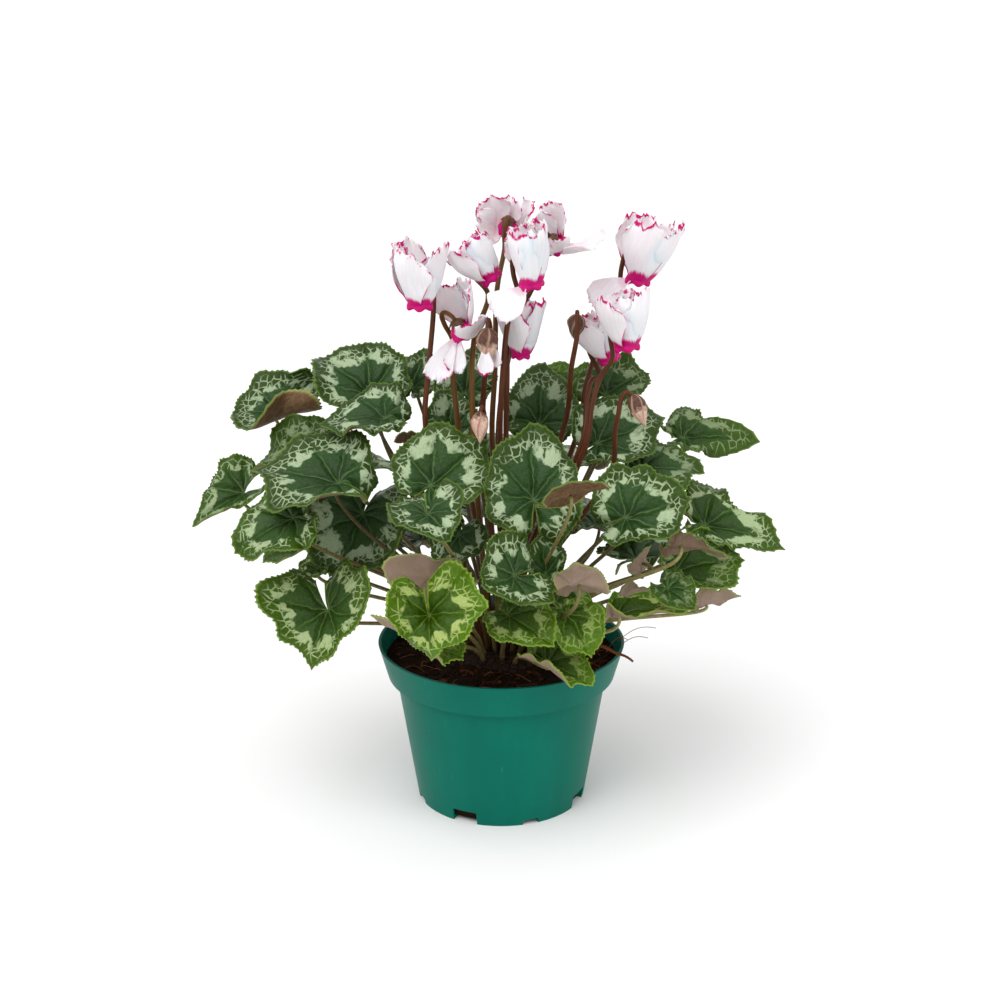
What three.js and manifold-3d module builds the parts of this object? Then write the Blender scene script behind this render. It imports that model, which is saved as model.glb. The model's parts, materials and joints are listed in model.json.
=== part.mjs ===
// A potted cyclamen: a moulded plastic pot of peat, with a tuber that carries leaves, blooms and buds.
// Millimetres, +Z up. The origin is the middle of the pot's underside, and -Y is the plant's front.
import * as THREE from 'three';
import { mergeVertices } from 'three/addons/utils/BufferGeometryUtils.js';
import Module from 'manifold-3d';

const wasm = await Module();
wasm.setup();

const DEG = Math.PI / 180;
const CLEAR = 0.3;

// The pot is a 12 cm nursery pot: a tapered wall, a floor and a wider collar at its rim.
const POT = {
  rim: 60,
  collarFoot: 55.5,
  neck: 51.6,
  base: 41.4,
  height: 80,
  collar: 16,
  wall: 1.4,
  floor: 1.8,
  sides: 32,
};
const NOTCH = {
  count: 8,
  first: -25,
  wide: 12.5,
  tall: 6.5,
  narrow: 8,
  low: 2.4,
  inward: 5,
};
const SOIL = { level: 73.2, swell: 1.1, waveX: 0.12, waveY: 0.1, rings: 3, sides: 32 };
const TUBER = { radius: 28, half: 13, middle: 65, sides: 16, rings: 6 };

// Every leaf and bloom is placed where it is seen from the viewing point, at a chosen depth behind it.
const VIEW = { back: 805, height: 413, pitch: 18 * DEG, focal: 1776, middleU: 501.3, middleV: 500 };

// The blade of a cyclamen leaf is heart-shaped, with its stalk at the bottom of the sinus.
const BLADE = {
  thick: 0.8,
  roundFrom: 0.86,
  curlReach: 0.8,
  nearby: 0.02,
  inner: 0.6,
  open: 168 * DEG,
  tipShare: 0.13,
  tipSpread: 0.28,
  lobeRound: 0.3,
  tooth: 0.035,
  waves: 3,
  bendSteps: 8,
};
// The stalk of a leaf, and the stalk of a bloom or bud.
const PETIOLE = { base: 1.15, top: 0.8, sides: 4, steps: 4, sink: 0.1, ahead: 3.2 };
const STALK = { base: 1.6, top: 1.2, sides: 4, lift: 0.3 };
const FOOT = { spread: 21, spacing: 4.1, rounds: 80, leanPower: 0.8 };

const PLASTIC = { color: 0x01715f, roughness: 0.42, metalness: 0 };
const PEAT = { color: 0x2a1a12, roughness: 0.95, metalness: 0 };
const CORM = { color: 0x4a3324, roughness: 0.9, metalness: 0 };
const LEAF = { color: 0x2f5d33, roughness: 0.5, metalness: 0 };
const PETAL = { color: 0xf4eef2, roughness: 0.6, metalness: 0 };
const STEM = { color: 0x6b2f1d, roughness: 0.5, metalness: 0 };

function placed(place) {
  return place.isVector3 ? place.clone() : seen(place);
}

function seen([u, v, depth]) {
  const across = (u - VIEW.middleU) / VIEW.focal;
  const down = (v - VIEW.middleV) / VIEW.focal;
  const cos = Math.cos(VIEW.pitch);
  const sin = Math.sin(VIEW.pitch);
  const reach = (depth + VIEW.back) / (cos - down * sin);
  return new THREE.Vector3(across * reach, depth, VIEW.height - (sin + down * cos) * reach);
}

function solidOf(geometry) {
  const bare = geometry.clone();
  bare.deleteAttribute('normal');
  bare.deleteAttribute('uv');
  const merged = mergeVertices(bare, 1e-4);
  const mesh = new wasm.Mesh({
    numProp: 3,
    vertProperties: new Float32Array(merged.attributes.position.array),
    triVerts: new Uint32Array(merged.index.array),
  });
  return new wasm.Manifold(mesh);
}

function geometryOf(solid) {
  const mesh = solid.getMesh();
  const geometry = new THREE.BufferGeometry();
  geometry.setAttribute('position', new THREE.BufferAttribute(new Float32Array(mesh.vertProperties), 3));
  geometry.setIndex(new THREE.BufferAttribute(new Uint32Array(mesh.triVerts), 1));
  geometry.computeVertexNormals();
  return geometry;
}

function geometryFrom(points, triangles) {
  const geometry = new THREE.BufferGeometry();
  const flat = points.flatMap((point) => [point.x, point.y, point.z]);
  geometry.setAttribute('position', new THREE.Float32BufferAttribute(flat, 3));
  geometry.setIndex(triangles);
  return geometry;
}

function latheZ(profile, sides) {
  const points = profile.map(([radius, height]) => new THREE.Vector2(radius, height));
  const geometry = new THREE.LatheGeometry(points, sides);
  geometry.rotateX(Math.PI / 2);
  return geometry;
}

// A closed sheet: rows of points over both faces, with a rim of triangles all round.
function sheetSolid(middle, normals, faces, edge, thick) {
  const count = middle.length;
  const top = middle.map((point, i) => point.clone().addScaledVector(normals[i], thick / 2));
  const under = middle.map((point, i) => point.clone().addScaledVector(normals[i], -thick / 2));
  const triangles = [];
  for (const [a, b, c] of faces) {
    triangles.push(a, b, c);
    triangles.push(count + a, count + c, count + b);
  }
  edge.forEach((a, i) => {
    const b = edge[(i + 1) % edge.length];
    triangles.push(a, count + b, b);
    triangles.push(a, count + a, count + b);
  });
  return solidOf(geometryFrom([...top, ...under], triangles));
}

// A stem along a curve, with a flat end at its foot and its top, thinner towards the top.
function stemSolid(curve, steps, sides, baseRadius, topRadius) {
  const points = [];
  const across = new THREE.Vector3(1, 0, 0);
  for (let i = 0; i <= steps; i += 1) {
    const centre = curve.getPoint(i / steps);
    const tangent = curve.getTangent(i / steps);
    across.addScaledVector(tangent, -across.dot(tangent)).normalize();
    const other = new THREE.Vector3().crossVectors(tangent, across);
    const radius = THREE.MathUtils.lerp(baseRadius, topRadius, i / steps);
    for (let j = 0; j < sides; j += 1) {
      const angle = (j / sides) * 2 * Math.PI;
      const point = centre.clone();
      point.addScaledVector(across, radius * Math.cos(angle));
      point.addScaledVector(other, radius * Math.sin(angle));
      points.push(point);
    }
  }
  const triangles = [];
  for (let i = 0; i < steps; i += 1) {
    for (let j = 0; j < sides; j += 1) {
      const next = (j + 1) % sides;
      const a = i * sides + j;
      const b = i * sides + next;
      triangles.push(a, b, b + sides);
      triangles.push(a, b + sides, a + sides);
    }
  }
  const last = steps * sides;
  for (let j = 1; j < sides - 1; j += 1) {
    triangles.push(0, j + 1, j);
    triangles.push(last, last + j, last + j + 1);
  }
  return solidOf(geometryFrom(points, triangles));
}

function joined(solids) {
  return solids.reduce((whole, solid) => whole.add(solid));
}

function piece(name, geometry, finish) {
  const mesh = new THREE.Mesh(geometry, new THREE.MeshStandardMaterial(finish));
  mesh.name = name;
  return mesh;
}

const SEAT = POT.height - POT.collar;
const LEDGE = SEAT + POT.wall;

// The pot's inner radius: below the ledge under the collar, and above it.
function wallInside(height) {
  const share = (height - POT.floor) / (LEDGE - POT.floor);
  return THREE.MathUtils.lerp(POT.base, POT.neck, share) - POT.wall;
}

function collarInside(height) {
  const share = (height - LEDGE) / (POT.height - LEDGE);
  return THREE.MathUtils.lerp(POT.collarFoot, POT.rim, share) - POT.wall;
}

// The pot's wall: outside from the floor to the rim, then down its inside.
function makePot() {
  const profile = [
    [0, 0],
    [POT.base, 0],
    [POT.neck, SEAT],
    [POT.collarFoot, SEAT],
    [POT.rim, POT.height],
    [collarInside(POT.height), POT.height],
    [collarInside(LEDGE), LEDGE],
    [wallInside(LEDGE), LEDGE],
    [wallInside(POT.floor), POT.floor],
    [0, POT.floor],
  ];
  let pot = solidOf(latheZ(profile, POT.sides));
  for (let i = 0; i < NOTCH.count; i += 1) {
    const deep = i % 2 === 0;
    const width = deep ? NOTCH.wide : NOTCH.narrow;
    const height = deep ? NOTCH.tall : NOTCH.low;
    const box = new THREE.BoxGeometry(width, 2 * NOTCH.inward, 2 * height);
    box.translate(0, -POT.base, 0);
    box.rotateZ((NOTCH.first + (i * 360) / NOTCH.count) * DEG);
    pot = pot.subtract(solidOf(box));
  }
  return geometryOf(pot);
}

function tuberHeight(radius) {
  return TUBER.middle + TUBER.half * Math.sqrt(Math.max(0, 1 - (radius / TUBER.radius) ** 2));
}

function tuberProfile(grow) {
  const profile = [];
  for (let i = 0; i <= TUBER.rings; i += 1) {
    const angle = -Math.PI / 2 + (i / TUBER.rings) * Math.PI;
    const isPole = i === 0 || i === TUBER.rings;
    const radius = isPole ? 0 : (TUBER.radius + grow) * Math.cos(angle);
    profile.push([radius, TUBER.middle + (TUBER.half + grow) * Math.sin(angle)]);
  }
  return profile;
}

// The soil fills the pot a little short of its rim. Its top swells and dips, and the tuber sits in it.
function makeSoil() {
  const bed = POT.floor + CLEAR;
  const rim = SOIL.level - SOIL.swell;
  const wide = collarInside(rim) - CLEAR;
  const profile = [
    [0, bed],
    [wallInside(bed) - CLEAR, bed],
    [wallInside(LEDGE) - CLEAR, LEDGE + CLEAR],
    [collarInside(LEDGE) - CLEAR, LEDGE + CLEAR],
    [wide, rim],
  ];
  for (let ring = SOIL.rings - 1; ring >= 0; ring -= 1) {
    profile.push([(wide * ring) / SOIL.rings, SOIL.level]);
  }
  const geometry = latheZ(profile, SOIL.sides);
  const place = geometry.attributes.position;
  for (let i = 0; i < place.count; i += 1) {
    const x = place.getX(i);
    const y = place.getY(i);
    if (place.getZ(i) > SOIL.level - 0.5 * SOIL.swell) {
      const wave = Math.sin(SOIL.waveX * x) * Math.cos(SOIL.waveY * y);
      place.setZ(i, SOIL.level + SOIL.swell * wave);
    }
  }
  const hollow = solidOf(latheZ(tuberProfile(CLEAR), TUBER.sides));
  return geometryOf(solidOf(geometry).subtract(hollow));
}

// Each leaf: where its stalk joins the blade (heart), where its point is (tip), and the way that its
// upper side faces. side holds the radii of its left and right half as shares of the length, and lobe
// the radius behind the heart. curl is how far each half turns up, and droop how far the midrib arches
// down. Left and right are as seen from the heart, with the upper side up. stem says how far the leaf's
// own stalk follows the tuber's surface outwards and how far it rises into the blade, as shares of its
// length. Neighbours with one node grow from one foot.
const LEAVES = [
  { node: 'leaf_left_1', heart: [281, 415, 40], tip: [233, 409, 40], face: [-0.2, -0.3, 0.93],
    side: [0.7, 0.95], lobe: 0.35, curl: [70, 75] },
  { node: 'leaf_left_2', heart: [370, 393, 20], tip: [316, 352, 40], face: [-0.2, -0.5, 0.85],
    side: [0.42, 0.62], lobe: 0.45 },
  { node: 'leaf_left_3', heart: [385, 417, -10], tip: [322, 421, -5], face: [-0.1, -0.4, 0.9],
    side: [0.5, 0.5], lobe: 0.42 },
  { node: 'leaf_left_4', heart: [338, 481, -30], tip: [253, 477, -15], face: [-0.2, -0.35, 0.92],
    side: [0.62, 0.6], lobe: 0.4 },
  { node: 'leaf_left_5', heart: [318, 452, 10], tip: [250, 470, 12], face: [-0.3, -0.3, 0.9],
    side: [0.55, 0.52], lobe: 0.5, arcs: 14 },
  { node: 'leaf_left_6', heart: [242, 497, 5], tip: [193, 525, 0], face: [-0.3, -0.6, 0.7],
    side: [0.6, 0.8], lobe: 0.22, curl: [30, 35] },
  { node: 'leaf_left_7', heart: [293, 517, -36], tip: [230, 553, -42], face: [-0.3, -0.6, 0.75],
    side: [0.6, 0.42], lobe: 0.3 },
  { node: 'leaf_left_6', heart: [310, 540, 15], tip: [262, 566, 8], face: [-0.1, -0.35, 0.93],
    side: [0.6, 0.5], lobe: 0.35, curl: [40, 20], arcs: 14 },
  { node: 'leaf_left_7', heart: [363, 512, 1], tip: [335, 583, -14], face: [0, -0.75, 0.65],
    side: [0.58, 0.74], lobe: 0.6 },
  { node: 'leaf_left_10', heart: [327, 610, -35], tip: [310, 676, -50], face: [-0.3, -0.75, 0.6],
    side: [0.76, 0.96], lobe: 0.85, skew: -35 },
  { node: 'leaf_front_1', heart: [424, 610, -80], tip: [431, 660, -88], face: [0, -0.85, 0.5],
    side: [1, 1], lobe: 0.9 },
  { node: 'leaf_front_2', heart: [428, 572, -59], tip: [426, 606, -60], face: [0, 0.9, 0.2],
    side: [1.2, 1.15], lobe: 0.5, arcs: 14 },
  { node: 'leaf_front_1', heart: [415, 632, -56], tip: [462, 667, -64], face: [0, -0.3, 0.95],
    side: [0.75, 0.9], lobe: 0.75, curl: [10, 50], arcs: 14 },
  { node: 'leaf_front_4', heart: [515, 576, -72], tip: [480, 588, -82], face: [-0.1, -0.8, 0.6],
    side: [1, 1.05], lobe: 1 },
  { node: 'leaf_front_5', heart: [508, 613, -62], tip: [554, 647, -78], face: [0.1, -0.6, 0.78],
    side: [0.42, 0.52], lobe: 0.32 },
  { node: 'leaf_front_6', heart: [566, 613, -57], tip: [592, 658, -68], face: [0.3, -0.7, 0.65],
    side: [0.52, 0.46], lobe: 0.25 },
  { node: 'leaf_front_7', heart: [546, 661, -55], tip: [590, 689, -62], face: [0.2, -0.5, 0.85],
    side: [0.7, 0.5], lobe: 0.6, curl: [10, 60], arcs: 14, stem: [0.3, 0.2] },
  { node: 'leaf_middle_1', heart: [430, 486, -38], tip: [490, 440, -25], face: [0, -0.75, 0.65],
    side: [0.68, 0.5], lobe: 0.36 },
  { node: 'leaf_middle_2', heart: [426, 514, -72], tip: [454, 541, -93], face: [0.1, -0.45, 0.88],
    side: [0.85, 0.76], lobe: 1.05, stem: [0.3, 0.12] },
  { node: 'leaf_middle_3', heart: [534, 499, -46], tip: [530, 430, -24], face: [0, -0.75, 0.65],
    side: [0.64, 0.62], lobe: 0.62 },
  { node: 'leaf_middle_4', heart: [563, 496, -76], tip: [610, 488, -72], face: [0, 0.5, 0.85],
    side: [0.75, 0.75], lobe: 0.6 },
  { node: 'leaf_middle_4', heart: [546, 574, -50], tip: [541, 530, -44], face: [0, -0.8, 0.6],
    side: [0.3, 0.3], lobe: 0.2, arcs: 14 },
  { node: 'leaf_front_6', heart: [572, 584, -66], tip: [610, 588, -66], face: [0, 0.8, 0.6],
    side: [0.7, 0.7], lobe: 0.6 },
  { node: 'leaf_middle_7', heart: [560, 595, -34], tip: [590, 607, -40], face: [0, -0.6, 0.8],
    side: [0.42, 0.42], lobe: 0.25, arcs: 14 },
  { node: 'leaf_middle_1', heart: [458, 532, -22], tip: [446, 562, -30], face: [0, -0.7, 0.7],
    side: [0.8, 0.8], lobe: 0.6, arcs: 14 },
  { node: 'leaf_right_1', heart: [606, 393, 25], tip: [650, 370, 35], face: [0.1, -0.5, 0.85],
    side: [0.66, 0.34], lobe: 0.6 },
  { node: 'leaf_right_2', heart: [598, 443, -5], tip: [664, 419, 10], face: [0, -0.75, 0.65],
    side: [0.56, 0.36], lobe: 0.3 },
  { node: 'leaf_right_3', heart: [682, 437, 25], tip: [749, 438, 30], face: [0.2, -0.5, 0.85],
    side: [0.62, 0.4], lobe: 0.24 },
  { node: 'leaf_right_4', heart: [640, 468, -5], tip: [703, 474, 0], face: [0.1, -0.4, 0.9],
    side: [0.45, 0.34], lobe: 0.25 },
  { node: 'leaf_right_5', heart: [626, 518, -50], tip: [692, 500, -45], face: [0.1, -0.7, 0.7],
    side: [0.78, 0.38], lobe: 0.5 },
  { node: 'leaf_right_6', heart: [703, 524, -5], tip: [787, 547, -8], face: [0.3, -0.5, 0.8],
    side: [0.74, 0.32], lobe: 0.26 },
  { node: 'leaf_right_6', heart: [676, 569, -22], tip: [750, 559, -14], face: [0.2, -0.6, 0.8],
    side: [0.24, 0.3], lobe: 0.25, arcs: 14 },
  { node: 'leaf_right_8', heart: [677, 547, -44], tip: [738, 556, -40], face: [0.1, 0.8, 0.5],
    side: [0.4, 0.32], lobe: 0.18, stem: [0.46, 0.3], arcs: 14 },
  { node: 'leaf_right_9', heart: [668, 585, -56], tip: [694, 608, -66], face: [0.2, -0.7, 0.7],
    side: [0.6, 0.55], lobe: 0.55 },
  { node: 'leaf_right_9', heart: [612, 612, -46], tip: [696, 608, -46], face: [0, -0.2, 1],
    side: [0.2, 0.24], lobe: 0.18 },
  { node: 'leaf_back_1', heart: [412, 388, 35], tip: [424, 350, 50], face: [0, -0.7, 0.7],
    side: [0.42, 0.5], lobe: 0.24, arcs: 14 },
  { node: 'leaf_back_2', heart: [465, 393, 28], tip: [472, 347, 43], face: [0, -0.7, 0.7],
    side: [0.58, 0.52], lobe: 0.3, arcs: 14 },
  { node: 'leaf_back_3', heart: [539, 424, 20], tip: [545, 362, 40], face: [0, -0.75, 0.65],
    side: [0.5, 0.6], lobe: 0.28 },
  { node: 'leaf_right_8', heart: [621, 599, -14], tip: [654, 590, -12], face: [0, 0.7, 0.7],
    side: [0.6, 0.5], lobe: 0.3, arcs: 14 },
  { node: 'leaf_right_8', heart: [700, 606, -18], tip: [741, 598, -14], face: [0, 0.6, 0.8],
    side: [0.5, 0.5], lobe: 0.2, arcs: 14 },
  { node: 'leaf_right_5', heart: [640, 570, -30], tip: [650, 545, -26], face: [-0.6, 0.6, 0.5],
    side: [0.6, 0.6], lobe: 0.3, arcs: 14, stem: [0.5, 0.3] },
  { node: 'leaf_back_3', heart: [585, 392, 42], tip: [546, 367, 50], face: [0, -0.35, 0.93],
    side: [0.4, 0.4], lobe: 0.2, arcs: 14 },
  { node: 'leaf_left_3', heart: [421, 440, 14], tip: [393, 440, 16], face: [0, 0.55, 0.8],
    side: [0.5, 0.5], lobe: 0.3, arcs: 14 },
  { node: 'leaf_back_1', heart: [452, 432, 8], tip: [450, 388, 22], face: [0, -0.75, 0.65],
    side: [0.5, 0.5], lobe: 0.2, arcs: 14 },
  { node: 'leaf_left_7', heart: [320, 567, -14], tip: [294, 578, -16], face: [0, -0.5, 0.85],
    side: [0.5, 0.5], lobe: 0.3, arcs: 14 },
];

// The leaves on the plant's far side. Each stands at its turn about the pot, its reach from the middle
// and its height, and points outwards.
const FAR_LEAVES = [
  { node: 'leaf_far_1', turn: 24, reach: 74, height: 112, length: 42 },
  { node: 'leaf_far_1', turn: 48, reach: 72, height: 121, length: 42 },
  { node: 'leaf_far_2', turn: 72, reach: 74, height: 111, length: 44 },
  { node: 'leaf_far_2', turn: 98, reach: 72, height: 121, length: 42 },
  { node: 'leaf_far_3', turn: 124, reach: 74, height: 110, length: 42 },
  { node: 'leaf_far_3', turn: 150, reach: 76, height: 120, length: 40 },
  { node: 'leaf_far_4', turn: 62, reach: 66, height: 152, length: 38 },
  { node: 'leaf_far_4', turn: 95, reach: 62, height: 158, length: 38 },
  { node: 'leaf_far_4', turn: 126, reach: 68, height: 150, length: 36 },
];
const FAR_FORM = { lean: 0.32, sink: 0.12, side: [0.56, 0.56], lobe: 0.42, arcs: 14 };

function farLeaf({ node, turn, reach, height, length }) {
  const out = new THREE.Vector3(Math.cos(turn * DEG), Math.sin(turn * DEG), 0);
  const heart = out.clone().multiplyScalar(reach).setZ(height);
  const tip = heart.clone().addScaledVector(out, length).setZ(height - FAR_FORM.sink * length);
  const face = out.clone().multiplyScalar(FAR_FORM.lean).setZ(1);
  const { side, lobe, arcs } = FAR_FORM;
  return { node, heart, tip, face: face.toArray(), side, lobe, phase: turn, arcs };
}

const ALL_LEAVES = [...LEAVES, ...FAR_LEAVES.map(farLeaf)];

const LEAF_USUAL = {
  curl: [10, 10],
  droop: 14,
  skew: 0,
  wave: 0.05,
  phase: 0,
  stem: [0.35, 0.3],
  arcs: 18,
};

// Follows an arc that starts level and turns ever more along it: how far it runs, rises and leans.
function arc(distance, reach, turn) {
  const size = Math.abs(distance);
  const step = size / BLADE.bendSteps;
  let run = 0;
  let rise = 0;
  for (let i = 0; i < BLADE.bendSteps; i += 1) {
    const angle = turn * (((i + 0.5) * step) / reach);
    run += step * Math.cos(angle);
    rise += step * Math.sin(angle);
  }
  return { run: Math.sign(distance) * run, rise, lean: Math.sign(distance) * turn * (size / reach) };
}

function bladeFrame(leaf) {
  const heart = placed(leaf.heart);
  const chord = placed(leaf.tip).sub(heart);
  const bend = arc(1, 1, -leaf.droop * DEG);
  const dip = Math.atan2(bend.rise, bend.run);
  const length = chord.length() / Math.hypot(bend.run, bend.rise);
  const along = chord.normalize();
  const facing = new THREE.Vector3(...leaf.face);
  facing.addScaledVector(along, -facing.dot(along)).normalize();
  const forward = along.clone().multiplyScalar(Math.cos(dip)).addScaledVector(facing, -Math.sin(dip));
  const up = along.clone().multiplyScalar(Math.sin(dip)).addScaledVector(facing, Math.cos(dip));
  const left = new THREE.Vector3().crossVectors(up, forward);
  return { heart, length, forward, up, left };
}

function bladeRadius(leaf, turn, share) {
  const forward = Math.max(0, Math.cos(turn));
  const behind = Math.max(0, -Math.cos(turn));
  const point = BLADE.tipShare * Math.exp(-Math.abs(turn) / BLADE.tipSpread);
  const side = leaf.side[turn > 0 ? 0 : 1];
  const front = (1 - BLADE.tipShare - side) * forward;
  const body = side + front + (leaf.lobe - side) * behind;
  const round = 1 - BLADE.lobeRound * THREE.MathUtils.smoothstep(Math.abs(share), BLADE.roundFrom, 1);
  return (body + point) * round;
}

// A point of the blade: share runs from one lobe (-1) over the tip (0) to the other (1), out is 0 to 1.
function bladePoint(leaf, frame, share, out, tooth) {
  const turn = share * BLADE.open + leaf.skew * DEG * share * share;
  const radius = frame.length * bladeRadius(leaf, turn, share) * (1 + tooth) * out;
  const along = radius * Math.cos(turn);
  const across = radius * Math.sin(turn);
  const curl = leaf.curl[across > 0 ? 0 : 1] * DEG;
  const sideways = arc(across, BLADE.curlReach * frame.length, curl);
  const wave = leaf.wave * frame.length * out * out * Math.sin(BLADE.waves * turn + leaf.phase);
  const height = sideways.rise + wave;
  const midrib = arc(along, frame.length, -leaf.droop * DEG);
  const point = frame.heart.clone();
  point.addScaledVector(frame.forward, midrib.run - height * Math.sin(midrib.lean));
  point.addScaledVector(frame.left, sideways.run);
  point.addScaledVector(frame.up, midrib.rise + height * Math.cos(midrib.lean));
  return point;
}

function bladeNormal(leaf, frame, share, out) {
  const small = BLADE.nearby;
  const reach = Math.max(out, 5 * small);
  const here = bladePoint(leaf, frame, share, reach - small, 0);
  const outward = bladePoint(leaf, frame, share, reach + small, 0).sub(here);
  const left = bladePoint(leaf, frame, Math.min(1, share + small), reach, 0);
  const right = bladePoint(leaf, frame, Math.max(-1, share - small), reach, 0);
  return outward.cross(left.sub(right)).normalize();
}

function bladeSolid(leaf, frame) {
  const half = leaf.arcs / 2;
  const middle = [frame.heart.clone()];
  const normals = [frame.up.clone()];
  for (let i = 0; i <= half; i += 1) {
    const share = (2 * i) / half - 1;
    middle.push(bladePoint(leaf, frame, share, BLADE.inner, 0));
    normals.push(bladeNormal(leaf, frame, share, BLADE.inner));
  }
  for (let i = 0; i <= leaf.arcs; i += 1) {
    const share = (2 * i) / leaf.arcs - 1;
    const tooth = i % 2 === 0 ? BLADE.tooth : -BLADE.tooth;
    middle.push(bladePoint(leaf, frame, share, 1, tooth));
    normals.push(bladeNormal(leaf, frame, share, 1));
  }
  const faces = [];
  const outer = half + 2;
  for (let i = 0; i < half; i += 1) {
    const inner = 1 + i;
    const rim = outer + 2 * i;
    faces.push([0, inner, inner + 1]);
    faces.push([inner, rim, rim + 1]);
    faces.push([inner, rim + 1, inner + 1]);
    faces.push([inner + 1, rim + 1, rim + 2]);
  }
  const edge = [0, 1];
  for (let i = 0; i <= leaf.arcs; i += 1) {
    edge.push(outer + i);
  }
  edge.push(half + 1);
  return sheetSolid(middle, normals, faces, edge, BLADE.thick);
}

// The stems leave the tuber from feet that are spread over its crown, each on the side it grows to.
function footGoal(end) {
  const across = Math.hypot(end.x, end.y);
  const lean = Math.atan2(across, end.z - tuberHeight(0)) / (Math.PI / 2);
  const radius = FOOT.spread * Math.min(1, lean) ** FOOT.leanPower;
  return new THREE.Vector2(end.x, end.y).multiplyScalar(radius / across);
}

function spreadFeet(ends) {
  const goals = new Map();
  ends.forEach(([name, end]) => {
    const goal = footGoal(placed(end));
    goals.set(name, goals.has(name) ? goals.get(name).lerp(goal, 0.5) : goal);
  });
  const feet = [...goals.values()];
  for (let round = 0; round < FOOT.rounds; round += 1) {
    for (let i = 0; i < feet.length; i += 1) {
      for (let j = i + 1; j < feet.length; j += 1) {
        const apart = feet[j].clone().sub(feet[i]);
        const distance = apart.length();
        if (distance < FOOT.spacing) {
          apart.multiplyScalar((FOOT.spacing - distance) / (2 * distance));
          feet[i].sub(apart);
          feet[j].add(apart);
        }
      }
    }
    feet.forEach((foot) => foot.clampLength(0, FOOT.spread));
  }
  return new Map([...goals.keys()].map((name, i) => [name, footOnTuber(feet[i])]));
}

function footOnTuber(foot) {
  const radius = foot.length();
  const height = tuberHeight(radius);
  const out = new THREE.Vector3(foot.x, foot.y, 0).divideScalar(TUBER.radius ** 2);
  out.z = (height - TUBER.middle) / TUBER.half ** 2;
  out.normalize();
  const point = new THREE.Vector3(foot.x, foot.y, height).addScaledVector(out, CLEAR);
  return { point, out };
}

function leafSolid(leaf, foot) {
  const frame = bladeFrame(leaf);
  const end = frame.heart.clone().addScaledVector(frame.up, -PETIOLE.sink);
  end.addScaledVector(frame.forward, PETIOLE.ahead);
  const span = end.distanceTo(foot.point);
  const curve = new THREE.CubicBezierCurve3(
    foot.point,
    foot.point.clone().addScaledVector(foot.out, leaf.stem[0] * span),
    end.clone().addScaledVector(frame.up, -leaf.stem[1] * span),
    end,
  );
  const stalk = stemSolid(curve, PETIOLE.steps, PETIOLE.sides, PETIOLE.base, PETIOLE.top);
  return bladeSolid(leaf, frame).add(stalk);
}

// Solids that share a name are fused to one piece.
function fused(named, finish) {
  const nodes = new Map();
  named.forEach(([name, solid]) => nodes.set(name, nodes.has(name) ? nodes.get(name).add(solid) : solid));
  return [...nodes].map(([name, solid]) => piece(name, geometryOf(solid), finish));
}

function makeLeaves(feet) {
  const leaves = ALL_LEAVES.map((given) => ({ ...LEAF_USUAL, ...given }));
  return fused(leaves.map((leaf) => [leaf.node, leafSolid(leaf, feet.get(leaf.node))]), LEAF);
}

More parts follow.
